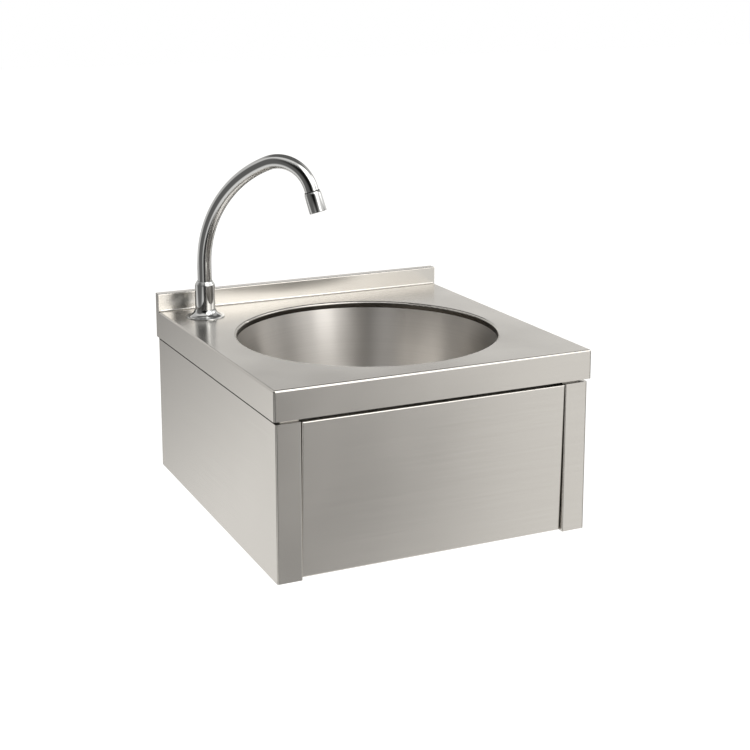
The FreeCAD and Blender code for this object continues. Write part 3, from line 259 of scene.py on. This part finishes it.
# The scratches vary with the distance from the axis and the height, and the tangent points away from the
# axis.
def ringBrushedStainless(name, centre, look):
    material, tree = newMaterial(name)
    place = addNode(tree, "ShaderNodeTexCoord")
    centred = addNode(tree, "ShaderNodeMapping", {"Location": [-value * millimetre for value in centre]},
                      {"Vector": (place, "Object")})
    parts = addNode(tree, "ShaderNodeSeparateXYZ", links={"Vector": (centred, "Vector")})
    flat = addNode(tree, "ShaderNodeCombineXYZ", links={"X": (parts, "X"), "Y": (parts, "Y")})
    radius = addNode(tree, "ShaderNodeVectorMath", {"operation": "LENGTH"}, {0: (flat, "Vector")})
    rings = addNode(tree, "ShaderNodeCombineXYZ", links={"X": (radius, "Value"), "Y": (parts, "Z")})
    scratches = addNode(tree, "ShaderNodeTexNoise",
                        {"Scale": 1 / (look["grainWidth"] * millimetre), "Detail": 3.0},
                        {"Vector": (rings, "Vector")})
    blotches = addNode(tree, "ShaderNodeTexNoise",
                       {"Scale": 1 / (look["blotchSize"] * millimetre), "Detail": 2.0},
                       {"Vector": (centred, "Vector")})
    sheen = brushedSheen(tree, look, blotches, scratches)
    outward = addNode(tree, "ShaderNodeVectorMath", {"operation": "NORMALIZE"}, {0: (flat, "Vector")})
    upward = addNode(tree, "ShaderNodeVectorMath", {"operation": "ADD", 1: (0.0, 0.0, 0.02)},
                     {0: (outward, "Vector")})
    tone = mixTones(tree, look, (scratches, "Fac"))
    shader = addNode(tree, "ShaderNodeBsdfPrincipled", {"Metallic": 1.0, "Anisotropic": look["anisotropy"]},
                     {"Base Color": tone, "Tangent": (upward, "Vector"), **sheen})
    finishMaterial(tree, shader)
    return material


# Bright chrome plate over polished brass: a mirror with a faint blue cast and soft buffing marks about 3
# mm apart.
chromePlate = {"colour": "#CFD0D0", "roughness": 0.07, "glossShare": 0.4, "markSize": 3, "bump": 0.02,
               "reliefDepth": 0.1}


def polishedChrome(name, look):
    material, tree = newMaterial(name)
    place = addNode(tree, "ShaderNodeTexCoord")
    marks = addNode(tree, "ShaderNodeTexNoise", {"Scale": 1 / (look["markSize"] * millimetre), "Detail": 3.0},
                    {"Vector": (place, "Object")})
    gloss = addNode(tree, "ShaderNodeMapRange", {"To Min": look["roughness"] * (1 - look["glossShare"]),
                    "To Max": look["roughness"] * (1 + look["glossShare"])}, {"Value": (marks, "Fac")})
    relief = addNode(tree, "ShaderNodeBump",
                     {"Strength": look["bump"], "Distance": look["reliefDepth"] * millimetre},
                     {"Height": (marks, "Fac")})
    shader = addNode(tree, "ShaderNodeBsdfPrincipled", {"Metallic": 1.0, "Base Color": linear(look["colour"])},
                     {"Roughness": (gloss, "Result"), "Normal": (relief, "Normal")})
    finishMaterial(tree, shader)
    return material


grainGlossChange = 0.06
grainDepth = 0.2


# A plain finish with a grain: two close tones, a roughness that wanders and a light relief, all from one
# noise.
def grainedFinish(name, look):
    material, tree = newMaterial(name)
    place = addNode(tree, "ShaderNodeTexCoord")
    grain = addNode(tree, "ShaderNodeTexNoise", {"Scale": 1 / (look["grainSize"] * millimetre), "Detail": 4.0},
                    {"Vector": (place, "Object")})
    gloss = addNode(tree, "ShaderNodeMapRange", {"To Min": look["roughness"] - grainGlossChange,
                    "To Max": look["roughness"] + grainGlossChange}, {"Value": (grain, "Fac")})
    relief = addNode(tree, "ShaderNodeBump", {"Strength": look["bump"], "Distance": grainDepth * millimetre},
                     {"Height": (grain, "Fac")})
    shader = addNode(tree, "ShaderNodeBsdfPrincipled", {"Metallic": look["metallic"]},
                     {"Base Color": mixTones(tree, look, (grain, "Fac")), "Roughness": (gloss, "Result"),
                      "Normal": (relief, "Normal")})
    if look["metallic"] == 0:
        shader.inputs["IOR"].default_value = look["ior"]
    finishMaterial(tree, shader)
    return material


finishes = {
    # free-cutting brass, turned: warm metal with fine tool rings
    "turnedBrass": {"colour": "#D8B673", "darkColour": "#BE9A58", "roughness": 0.28, "grainSize": 1.2,
                    "bump": 0.15, "metallic": 1.0},
    # nitrile rubber, moulded: near black, dull, slightly uneven
    "mouldedNitrileRubber": {"colour": "#2B2B2C", "darkColour": "#1C1C1D", "roughness": 0.62,
                             "grainSize": 1.5, "bump": 0.2, "metallic": 0.0, "ior": 1.52},
    # nylon, moulded and natural white: waxy, faintly mottled
    "mouldedNylon": {"colour": "#E9E7DF", "darkColour": "#DCD9CF", "roughness": 0.42, "grainSize": 2.5,
                     "bump": 0.1, "metallic": 0.0, "ior": 1.53},
    # polypropylene, moulded in dark grey with a fine spark-eroded texture
    "mouldedPolypropylene": {"colour": "#5E6062", "darkColour": "#4F5153", "roughness": 0.5, "grainSize": 0.9,
                             "bump": 0.3, "metallic": 0.0, "ior": 1.49},
    # spring steel wire and zinc-plated small parts: cold bright metal with drawing marks
    "zincPlatedSteel": {"colour": "#C3C6C9", "darkColour": "#A9ACB0", "roughness": 0.3, "grainSize": 1.0,
                        "bump": 0.12, "metallic": 1.0},
    # copper tube, drawn and left bare: soft sheen with darker handling patches
    "drawnCopperTube": {"colour": "#D08A68", "darkColour": "#A9664A", "roughness": 0.3, "grainSize": 9.0,
                        "bump": 0.08, "metallic": 1.0},
}

# Sizes of the bowl, in millimetres, down from the deck's top.
bowl = {
    "centre": (0, -218, 0),
    "sheet": 1.2,
    "neckRadius": 159.5,
    "neckDrop": 8,
    "wallLean": 9,
    "wallDrop": 72,
    "cornerBend": 62,
    "floorFall": 6,
    "sumpRadius": 36,
    "sumpDrop": 3,
    "seatLedge": 2,
    "drainRadius": 21,
    "runSteps": 12,
    "arcSteps": 40,
    "steps": 288,
}

# The grain's run along x, y and z, then the direction across it.
sheetAcross = brushedStainless("belt_brushed_stainless_deck", (True, False, False), (0.0, 1.0, 0.02),
                               brushedSheet, (bowl["centre"], bowl["neckRadius"]))
sheetRound = brushedStainless("belt_brushed_stainless_casing", (True, True, False), (0.0, 0.0, 1.0),
                              brushedSheet)
bowlFinish = ringBrushedStainless("ring_brushed_stainless_bowl", bowl["centre"], drawnBowl)
chrome = polishedChrome("polished_chrome_plate", chromePlate)
plainFinish = {name: grainedFinish(name, look) for name, look in finishes.items()}
brass, polypropylene = plainFinish["turnedBrass"], plainFinish["mouldedPolypropylene"]
print("materials ready")

nodeFinish = {
    sheetAcross: ["deck_top"],
    sheetRound: ["left_side_panel", "right_side_panel", "front_rail", "wall_frame", "knee_panel",
                 "valve_bracket", "stop_brackets"],
    bowlFinish: ["bowl", "waste_strainer"],
    chrome: ["spout_tube", "spout_flange", "spout_collar", "aerator_housing"],
    brass: ["valve_body", "valve_lock_nut", "valve_cap", "mixer_body", "mixer_union_nut", "mixer_spindle",
            "riser_nuts", "spout_shank", "shank_nut"],
    plainFinish["mouldedNitrileRubber"]: ["stop_buffers", "plunger_seal", "deck_gasket", "under_deck_gasket",
                                          "spout_o_rings", "aerator_washer", "waste_top_washer",
                                          "waste_gasket"],
    plainFinish["mouldedNylon"]: ["hinge_bushes", "push_pad", "inlet_check_valves", "swivel_ring",
                                  "aerator_insert"],
    polypropylene: ["temperature_knob", "waste_body"],
    plainFinish["zincPlatedSteel"]: ["hinge_pins", "hinge_clips", "valve_plunger", "plunger_spring",
                                     "knob_screw", "under_deck_washer", "waste_screw"],
    plainFinish["drawnCopperTube"]: ["riser_tube"],
}
for material, names in nodeFinish.items():
    for name in names:
        nodes[name].data.materials.clear()
        nodes[name].data.materials.append(material)


# The drawn wall's inner line comes down from the neck, turns through the corner arc and falls to the
# drain seat. The outer line is the same line moved out by the sheet, so the two make one closed ring of
# even thickness.
def makeBowl(size):
    lean, fall = math.radians(size["wallLean"]), math.radians(size["floorFall"])
    rim, bend, sump = size["neckRadius"], size["cornerBend"], size["sumpRadius"]
    foot = -size["neckDrop"] - size["wallDrop"]
    footRadius = rim - size["wallDrop"] * math.tan(lean)
    centre = np.array([footRadius - bend * math.cos(lean), foot + bend * math.sin(lean)])
    angles = np.linspace(lean, math.pi / 2 - fall, size["arcSteps"])
    arc = centre + bend * np.stack([np.cos(angles), -np.sin(angles)], axis=-1)
    wall = np.linspace((rim, -size["neckDrop"]), (footRadius, foot), size["runSteps"])[:-1]
    sumpHeight = arc[-1, 1] - (arc[-1, 0] - sump) * math.tan(fall)
    floor = np.linspace(arc[-1], (sump, sumpHeight), size["runSteps"])[1:]
    seat = sumpHeight - size["sumpDrop"]
    inner = np.concatenate([wall, arc, floor, [(sump - size["seatLedge"], seat), (size["drainRadius"], seat)]])
    along = np.gradient(inner, axis=0)
    along /= np.linalg.norm(along, axis=1)[:, None]
    outward = np.stack([-along[:, 1], along[:, 0]], axis=-1)
    outward[0], outward[-1] = (1, 0), (0, -1)
    outer = inner + size["sheet"] * outward
    return turnedRing(np.concatenate([inner, outer[::-1]]), size["centre"], steps=size["steps"])


dress("bowl_drawn", makeBowl(bowl), bowlFinish, "basin", "bowl")
print("bowl made")


# Tap: the gooseneck's middle line starts upright at the foot and leans over in its own upright plane.
spout = {
    "foot": (-153, -58.5),
    "aim": -46.5,
    "bottom": 8.3,
    "rise": 68,
    "wideBend": 143,
    "wideSweep": 68,
    "tightBend": 44,
    "tightSweep": 94,
    "end": 15,
    "radius": 9,
    "bore": 7.6,
    "riseSteps": 12,
    "bendSteps": 60,
    "endSteps": 5,
    "steps": 96,
    "nozzleSteps": 128,
    "ringSteps": 96,
}
tapFoot = np.array([*spout["foot"], 0.0])
aim = math.radians(spout["aim"])
reachWay = np.array([math.cos(aim), math.sin(aim), 0.0])
sideWay = np.array([-math.sin(aim), math.cos(aim), 0.0])
upWay = np.array([0.0, 0.0, 1.0])


# Reach, height and lean from upright along the middle: a straight rise, a wide arc up, a tighter arc over
# the top and down, and a short straight end.
def spoutLine(size):
    wide, tight = math.radians(size["wideSweep"]), math.radians(size["tightSweep"])
    rise = np.linspace(size["bottom"], size["rise"], size["riseSteps"])[:-1]
    lines = [np.stack([0 * rise, rise, 0 * rise], axis=-1)]
    lean = np.linspace(0, wide, size["bendSteps"])[:-1]
    lines.append(np.stack([size["wideBend"] * (1 - np.cos(lean)),
                           size["rise"] + size["wideBend"] * np.sin(lean), lean], axis=-1))
    crest = np.array([size["wideBend"] * (1 - math.cos(wide)),
                      size["rise"] + size["wideBend"] * math.sin(wide)])
    lean = np.linspace(wide, wide + tight, size["bendSteps"])
    lines.append(np.stack([crest[0] + size["tightBend"] * (math.cos(wide) - np.cos(lean)),
                           crest[1] + size["tightBend"] * (np.sin(lean) - math.sin(wide)), lean], axis=-1))
    last = lines[-1][-1]
    run = np.linspace(0, size["end"], size["endSteps"])[1:]
    lines.append(np.stack([last[0] + run * math.sin(last[2]), last[1] + run * math.cos(last[2]),
                           last[2] + 0 * run], axis=-1))
    return np.concatenate(lines)


# A round wall carried along the middle line: each ring is the middle plus the radius times the cosine
# along the lean's normal and the sine across the plane, out along the outside and back along the bore.
def makeSpout(size, line):
    line = np.concatenate([line, line[::-1]])
    radius = np.full(len(line), size["radius"], float)
    radius[len(line) // 2:] = size["bore"]
    angles = np.linspace(0, 2 * math.pi, size["steps"], endpoint=False)[None, :, None]
    middle = line[:, 0, None] * reachWay + line[:, 1, None] * upWay + tapFoot
    normal = np.cos(line[:, 2])[:, None] * reachWay - np.sin(line[:, 2])[:, None] * upWay
    ring = np.cos(angles) * normal[:, None] + np.sin(angles) * sideWay
    return (middle[:, None] + radius[:, None, None] * ring) * millimetre


middleLine = spoutLine(spout)
dress("spout_gooseneck", makeSpout(spout, middleLine), chrome, "spout", "spout_tube")

# Base of the tap, radius and height: the flange sweeps up in one hollow arc to the collar, whose shoulder
# is a cone.
flangeLine = np.concatenate([
    roundedPath([(14.3, 1.1), (20.5, 1.1), (20.5, 0), (24.6, 0, 0.3, 3), (24.6, 1.2, 0.5, 5)]),
    arcBetween((24.1, 1.2), (13.15, 10), 11, 28), [(11.4, 10), (11.4, 4.3), (14.3, 4.3)]])
collarLine = roundedPath([(11.25, 10), (12.75, 10, 0.4, 4), (12.75, 41.5, 1.2, 8), (10.2, 46, 0.6, 5),
                          (9.3, 46), (9.3, 41.5), (11.25, 41.5)])
dress("tap_flange", turnedRing(flangeLine, tapFoot), chrome, "basin", "spout_flange")
dress("tap_collar", turnedRing(collarLine, tapFoot), chrome, "basin", "spout_collar")

# Nozzle, radius and station past the joint: a shoulder over the tube's end, widening to its mouth, with a
# black ring in the joint above it.
nozzleLine = roundedPath([(9.05, -9.4), (9.9, -9.4, 0.4, 4), (10.7, -7, 1.5, 6), (11, 16, 0.8, 5),
                          (8.2, 16, 0.4, 3), (8.2, 14), (9.4, 14), (9.4, 0.4), (9.05, 0.4)])
ringLine = roundedPath([(9.05, -10.6), (9.6, -10.6, 0.2, 3), (9.6, -9.4), (9.05, -9.4)])
endReach, endHeight, endLean = middleLine[-1]
nozzleAxes = np.array([math.cos(endLean) * reachWay - math.sin(endLean) * upWay, sideWay,
                       math.sin(endLean) * reachWay + math.cos(endLean) * upWay])
nozzleJoint = tapFoot + endReach * reachWay + endHeight * upWay
dress("tap_nozzle", turnedRing(nozzleLine, nozzleJoint, nozzleAxes, spout["nozzleSteps"]), chrome, "spout",
      "aerator_housing")
dress("tap_joint_ring", turnedRing(ringLine, nozzleJoint, nozzleAxes, spout["ringSteps"]),
      plainFinish["mouldedNitrileRubber"], "spout")
print("tap made")


# Ridge of a thread, in millimetres: its height, how far its foot lies below the stub, and where the
# sleeve ends.
threadShape = {"ridge": 0.25, "sunk": 0.05, "root": 0.5, "rowsPerTurn": 10, "steps": 96}


# A pipe thread: round the stub, the radius rises and falls evenly with the height less the turn's share of a
# pitch. The ridges stand 0.2 mm off the stub, less over the first and last turn, where they fade.
def threadSleeve(centre, radius, low, high, pitch, shape):
    heights = np.linspace(low, high, int((high - low) / pitch * shape["rowsPerTurn"]))
    angles = np.linspace(0, 1, shape["steps"], endpoint=False)
    phase = (heights[:, None] / pitch - angles) % 1
    fade = np.clip(np.minimum(heights - low, high - heights) / pitch, 0, 1)[:, None]
    proud = radius + (shape["ridge"] * (2 * np.abs(phase - 0.5)) - shape["sunk"]) * fade
    buried = np.full_like(proud, radius - shape["root"])
    across = np.concatenate([proud, buried[::-1]])
    level = np.concatenate([heights, heights[::-1]])[:, None]
    x = centre[0] + across * np.cos(2 * math.pi * angles)
    y = centre[1] + across * np.sin(2 * math.pi * angles)
    return np.stack([x, y, level + 0 * x], axis=-1) * millimetre


# Stubs with a thread: centre, outer radius, lowest and highest point and pitch, by piece.
threads = {
    "waste_tail_thread": ((0, -218), 20.95, -203.4, -171.4, 2.309, polypropylene, "grey_plastic"),
    "hot_inlet_thread": ((-131, -335), 8.3, -217.4, -206.6, 1.337, brass, "bare_brass"),
    "cold_inlet_thread": ((-79, -335), 8.3, -217.4, -206.6, 1.337, brass, "bare_brass"),
    "shank_thread": ((-153, -58.5), 10.4, -47.4, -12.4, 1.5, brass, "bare_brass"),
}
for name, (centre, radius, low, high, pitch, finish, slotName) in threads.items():
    dress(name, threadSleeve(centre, radius, low, high, pitch, threadShape), finish, "basin")
print("threads made")

# Return spring of the knee valve, which seats in the cap.
spring = {
    "axis": (-105, -150),
    "front": -352.6,
    "length": 33.5,
    "turns": 6,
    "turnSteps": 48,
    "wireSteps": 16,
    "coil": 7.5,
    "wire": 0.8,
    "seat": -318,
    "stroke": 8.9,
}


# A round wire along a helix about a line towards the wall: angle a stands at the coil's radius times its
# cosine and sine, and moves along in step with it.
def makeSpring(size):
    turn = np.linspace(0, 2 * math.pi * size["turns"], size["turnSteps"] * size["turns"] + 1)
    outward = np.stack([np.cos(turn), 0 * turn, -np.sin(turn)], axis=-1)
    middle = size["coil"] * outward
    middle[:, 1] = size["length"] * turn / turn[-1]
    along = np.gradient(middle, axis=0)
    along /= np.linalg.norm(along, axis=1)[:, None]
    across = np.cross(outward, along)
    angles = np.linspace(0, 2 * math.pi, size["wireSteps"], endpoint=False)[None, :, None]
    ring = np.cos(angles) * outward[:, None] + np.sin(angles) * across[:, None]
    middle += (size["axis"][0], size["front"], size["axis"][1])
    tube = middle[:, None] + size["wire"] * ring
    ends = [np.broadcast_to(middle[end], tube[:1].shape) for end in (0, -1)]
    return np.concatenate([ends[0], tube, ends[1]]) * millimetre


springPiece = dress("return_spring", makeSpring(spring), plainFinish["zincPlatedSteel"], "basin",
                    "plunger_spring", gathered=True)
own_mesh(springPiece)
print("spring made")

# Studio, in metres and degrees.
studio = {
    "floorHeight": -0.80,
    "floorReach": 14.0,
    "floorLift": 0.45,
    "floorColour": "#F4F3F1",
    "backgroundLevel": 1.0,
    "fillLevel": 0.75,
    "eye": (-0.775, -1.872, 0.464),
    "turn": 25.40,
    "dip": 11.70,
    "lens": 73.8,
    "shift": -0.15,
    "tentCentre": (0, -0.2, -0.08),
    "tentRadius": 1.9,
    "tentFloor": 0.68,
    "tentLevel": 0.95,
    "tentSteps": (96, 49),
    "sensorWidth": 36,
}
lampTint = (1, 0.985, 0.96, 1)
keyLamp = {"place": (-1.2, -1.4, 2.0), "target": (0, -0.2, 0), "width": 0.8, "height": 0.8, "power": 10}


# Soft patches on the light tent's cloth, later ones over earlier ones: a level below the tent's is a dark
# flag, one above it a lamp or softbox. Each is a direction (degrees clockwise from the wall's normal seen
# from above, degrees up), the angle from it up to which it is full, the larger angle where it ends, and
# its level.
flags = {
    "ceilingBehind": (25, 62, 33, 43, 0.16),
    "behindLeft": (-30, 22, 10, 36, 0.70),
    "leftSide": (266, 12, 26, 46, 0.16),
    "photographer": (213, 25, 14, 42, 0.01),
    "rightSide": (74, 40, 12, 24, 0.55),
    "keySoftbox": (158, 46, 17, 32, 2.6),
    "lowerSoftbox": (163, 13, 5, 13, 2.6),
    "rightLamp": (98, 28, 7, 17, 2.6),
    "frontLeftLow": (172, -18, 4, 25, 0.32),
    "lowPhotographer": (205, -12, 9, 24, 0.06),
    "lowBehind": (30, -18, 9, 24, 0.12),
    "lowRight": (105, -10, 16, 36, 0.28),
}


# Shows a stage piece in metal alone: the camera, matt surfaces and shadows pass through it.
def onlyMirrored(piece):
    piece.visible_camera = piece.visible_diffuse = piece.visible_transmission = piece.visible_shadow = False
    bpy.context.scene.collection.objects.link(piece)


# Light tent round the object: a sphere by its turns and rises, flattened at the floor.
def makeTent(look):
    around, up = look["tentSteps"]
    turns = np.linspace(0, 2 * math.pi, around, endpoint=False)
    rises = np.linspace(-math.pi / 2, math.pi / 2, up)[:, None]
    x = np.cos(rises) * np.cos(turns)
    y = np.cos(rises) * np.sin(turns)
    z = np.sin(rises) + 0 * turns
    lowest = look["tentFloor"] / look["tentRadius"]
    points = np.stack([x, y, np.maximum(z, -lowest)], axis=-1).reshape(-1, 3) * look["tentRadius"]
    index = np.arange(len(points)).reshape(z.shape)
    across = np.roll(index, -1, axis=1)
    faces = np.stack([index[:-1], across[:-1], across[1:], index[1:]], axis=-1).reshape(-1, 4)
    mesh = bpy.data.meshes.new("light_tent")
    mesh.from_pydata(points.tolist(), [], faces.tolist())
    tent = bpy.data.objects.new("light_tent", mesh)
    tent.location = look["tentCentre"]
    onlyMirrored(tent)
    material, tree = newMaterial("lit_white_cloth")
    place = addNode(tree, "ShaderNodeTexCoord")
    way = addNode(tree, "ShaderNodeVectorMath", {"operation": "NORMALIZE"}, {0: (place, "Object")})
    level = addNode(tree, "ShaderNodeValue")
    level.outputs[0].default_value = look["tentLevel"]
    light = (level, 0)
    for azimuth, elevation, full, end, strength in flags.values():
        turn, rise = math.radians(azimuth), math.radians(elevation)
        aimed = (math.sin(turn) * math.cos(rise), math.cos(turn) * math.cos(rise), math.sin(rise))
        near = addNode(tree, "ShaderNodeVectorMath", {"operation": "DOT_PRODUCT", 1: aimed},
                       {0: (way, "Vector")})
        share = addNode(tree, "ShaderNodeMapRange", {"interpolation_type": "SMOOTHSTEP",
                        "From Min": math.cos(math.radians(end)), "From Max": math.cos(math.radians(full))},
                        {"Value": (near, "Value")})
        mixed = addNode(tree, "ShaderNodeMix", {3: strength}, {0: (share, "Result"), 2: light})
        light = (mixed, 0)
    glow = addNode(tree, "ShaderNodeEmission", {"Color": lampTint}, {"Strength": light})
    addNode(tree, "ShaderNodeOutputMaterial", links={"Surface": (glow, "Emission")})
    mesh.materials.append(material)


# Card beside the object, upright and square to the wall's normal: its level runs evenly from one point to
# another.
cards = {
    "card_behind_left": {"across": (-0.75, -0.205), "depth": 0.30, "up": (-0.70, -0.01),
                         "from": (-0.27, -0.05), "to": (-0.50, -0.30), "levels": (0.33, 0.92)},
}


def makeCard(name, look):
    (left, right), (low, high), depth = look["across"], look["up"], look["depth"]
    mesh = bpy.data.meshes.new(name)
    corners = [(left, depth, low), (right, depth, low), (right, depth, high), (left, depth, high)]
    mesh.from_pydata(corners, [], [(0, 1, 2, 3)])
    card = bpy.data.objects.new(name, mesh)
    onlyMirrored(card)
    material, tree = newMaterial("lit_grey_card")
    start, end = (np.array([look[key][0], depth, look[key][1]]) for key in ("from", "to"))
    slope = (end - start) / np.dot(end - start, end - start)
    place = addNode(tree, "ShaderNodeTexCoord")
    away = addNode(tree, "ShaderNodeVectorMath", {"operation": "SUBTRACT", 1: start.tolist()},
                   {0: (place, "Object")})
    share = addNode(tree, "ShaderNodeVectorMath", {"operation": "DOT_PRODUCT", 1: slope.tolist()},
                    {0: (away, "Vector")})
    light = addNode(tree, "ShaderNodeMapRange", {"To Min": look["levels"][0], "To Max": look["levels"][1]},
                    {"Value": (share, "Value")})
    glow = addNode(tree, "ShaderNodeEmission", {"Color": lampTint}, {"Strength": (light, "Result")})
    addNode(tree, "ShaderNodeOutputMaterial", links={"Surface": (glow, "Emission")})
    mesh.materials.append(material)


# Area lamp turned to face its target.
def makeLamp(name, look):
    light = bpy.data.lights.new(name, "AREA")
    light.shape = "RECTANGLE"
    light.size = look["width"]
    light.size_y = look["height"]
    light.energy = look["power"]
    lamp = bpy.data.objects.new(name, light)
    lamp.location = look["place"]
    toward = np.array(look["target"], float) - np.array(look["place"], float)
    toward /= np.linalg.norm(toward)
    lamp.rotation_euler = (math.acos(-toward[2]), 0, math.atan2(-toward[0], toward[1]))
    bpy.context.scene.collection.objects.link(lamp)


# One for a ray from the camera, off metal or through glass, and nothing for the rest.
def shownRay(tree):
    path = addNode(tree, "ShaderNodeLightPath")
    either = addNode(tree, "ShaderNodeMath", {"operation": "MAXIMUM"},
                     {0: (path, "Is Camera Ray"), 1: (path, "Is Glossy Ray")})
    return addNode(tree, "ShaderNodeMath", {"operation": "MAXIMUM"},
                   {0: (either, "Value"), 1: (path, "Is Transmission Ray")})


# Floor: a wide square of matt paper, lifted to white where it is looked at, that keeps the soft shadow. From
# below it is clear, so that the underside can be seen.
def makeFloor(look):
    reach = look["floorReach"]
    mesh = bpy.data.meshes.new("studio_floor")
    corners = [(-reach, -reach, look["floorHeight"]), (reach, -reach, look["floorHeight"]),
               (reach, reach, look["floorHeight"]), (-reach, reach, look["floorHeight"])]
    mesh.from_pydata(corners, [], [(0, 1, 2, 3)])
    floor = bpy.data.objects.new("studio_floor", mesh)
    bpy.context.scene.collection.objects.link(floor)
    material, tree = newMaterial("matt_white_paper")
    paper = addNode(tree, "ShaderNodeBsdfDiffuse", {"Color": linear(look["floorColour"])})
    lift = addNode(tree, "ShaderNodeMath", {"operation": "MULTIPLY", 1: look["floorLift"]},
                   {0: (shownRay(tree), "Value")})
    glow = addNode(tree, "ShaderNodeEmission", links={"Strength": (lift, "Value")})
    lit = addNode(tree, "ShaderNodeAddShader", links={0: (paper, "BSDF"), 1: (glow, "Emission")})
    side = addNode(tree, "ShaderNodeNewGeometry")
    clear = addNode(tree, "ShaderNodeBsdfTransparent")
    seen = addNode(tree, "ShaderNodeMixShader",
                   links={0: (side, "Backfacing"), 1: (lit, "Shader"), 2: (clear, "BSDF")})
    addNode(tree, "ShaderNodeOutputMaterial", links={"Surface": (seen, "Shader")})
    mesh.materials.append(material)


def makeWorld(look):
    world = bpy.data.worlds.new("studio")
    bpy.context.scene.world = world
    world.use_nodes = True
    tree = world.node_tree
    tree.nodes.clear()
    fill = addNode(tree, "ShaderNodeBackground", {"Color": (1, 1, 1, 1), "Strength": look["fillLevel"]})
    white = addNode(tree, "ShaderNodeBackground", {"Color": (1, 1, 1, 1), "Strength": look["backgroundLevel"]})
    both = addNode(tree, "ShaderNodeMixShader", links={0: (shownRay(tree), "Value"), 1: (fill, "Background"),
                                                       2: (white, "Background")})
    addNode(tree, "ShaderNodeOutputWorld", links={"Surface": (both, "Shader")})


def makeCamera(look):
    camera = bpy.data.objects.new("camera", bpy.data.cameras.new("camera"))
    camera.data.lens = look["lens"]
    camera.data.sensor_width = look["sensorWidth"]
    camera.data.shift_y = look["shift"]
    camera.location = look["eye"]
    camera.rotation_euler = (math.radians(90 - look["dip"]), 0, math.radians(-look["turn"]))
    bpy.context.scene.collection.objects.link(camera)
    bpy.context.scene.camera = camera


makeFloor(studio)
makeWorld(studio)
makeTent(studio)
for name, look in cards.items():
    makeCard(name, look)
makeCamera(studio)
makeLamp("key_softbox", keyLamp)
bpy.context.scene.view_settings.view_transform = "Standard"
print("studio ready")
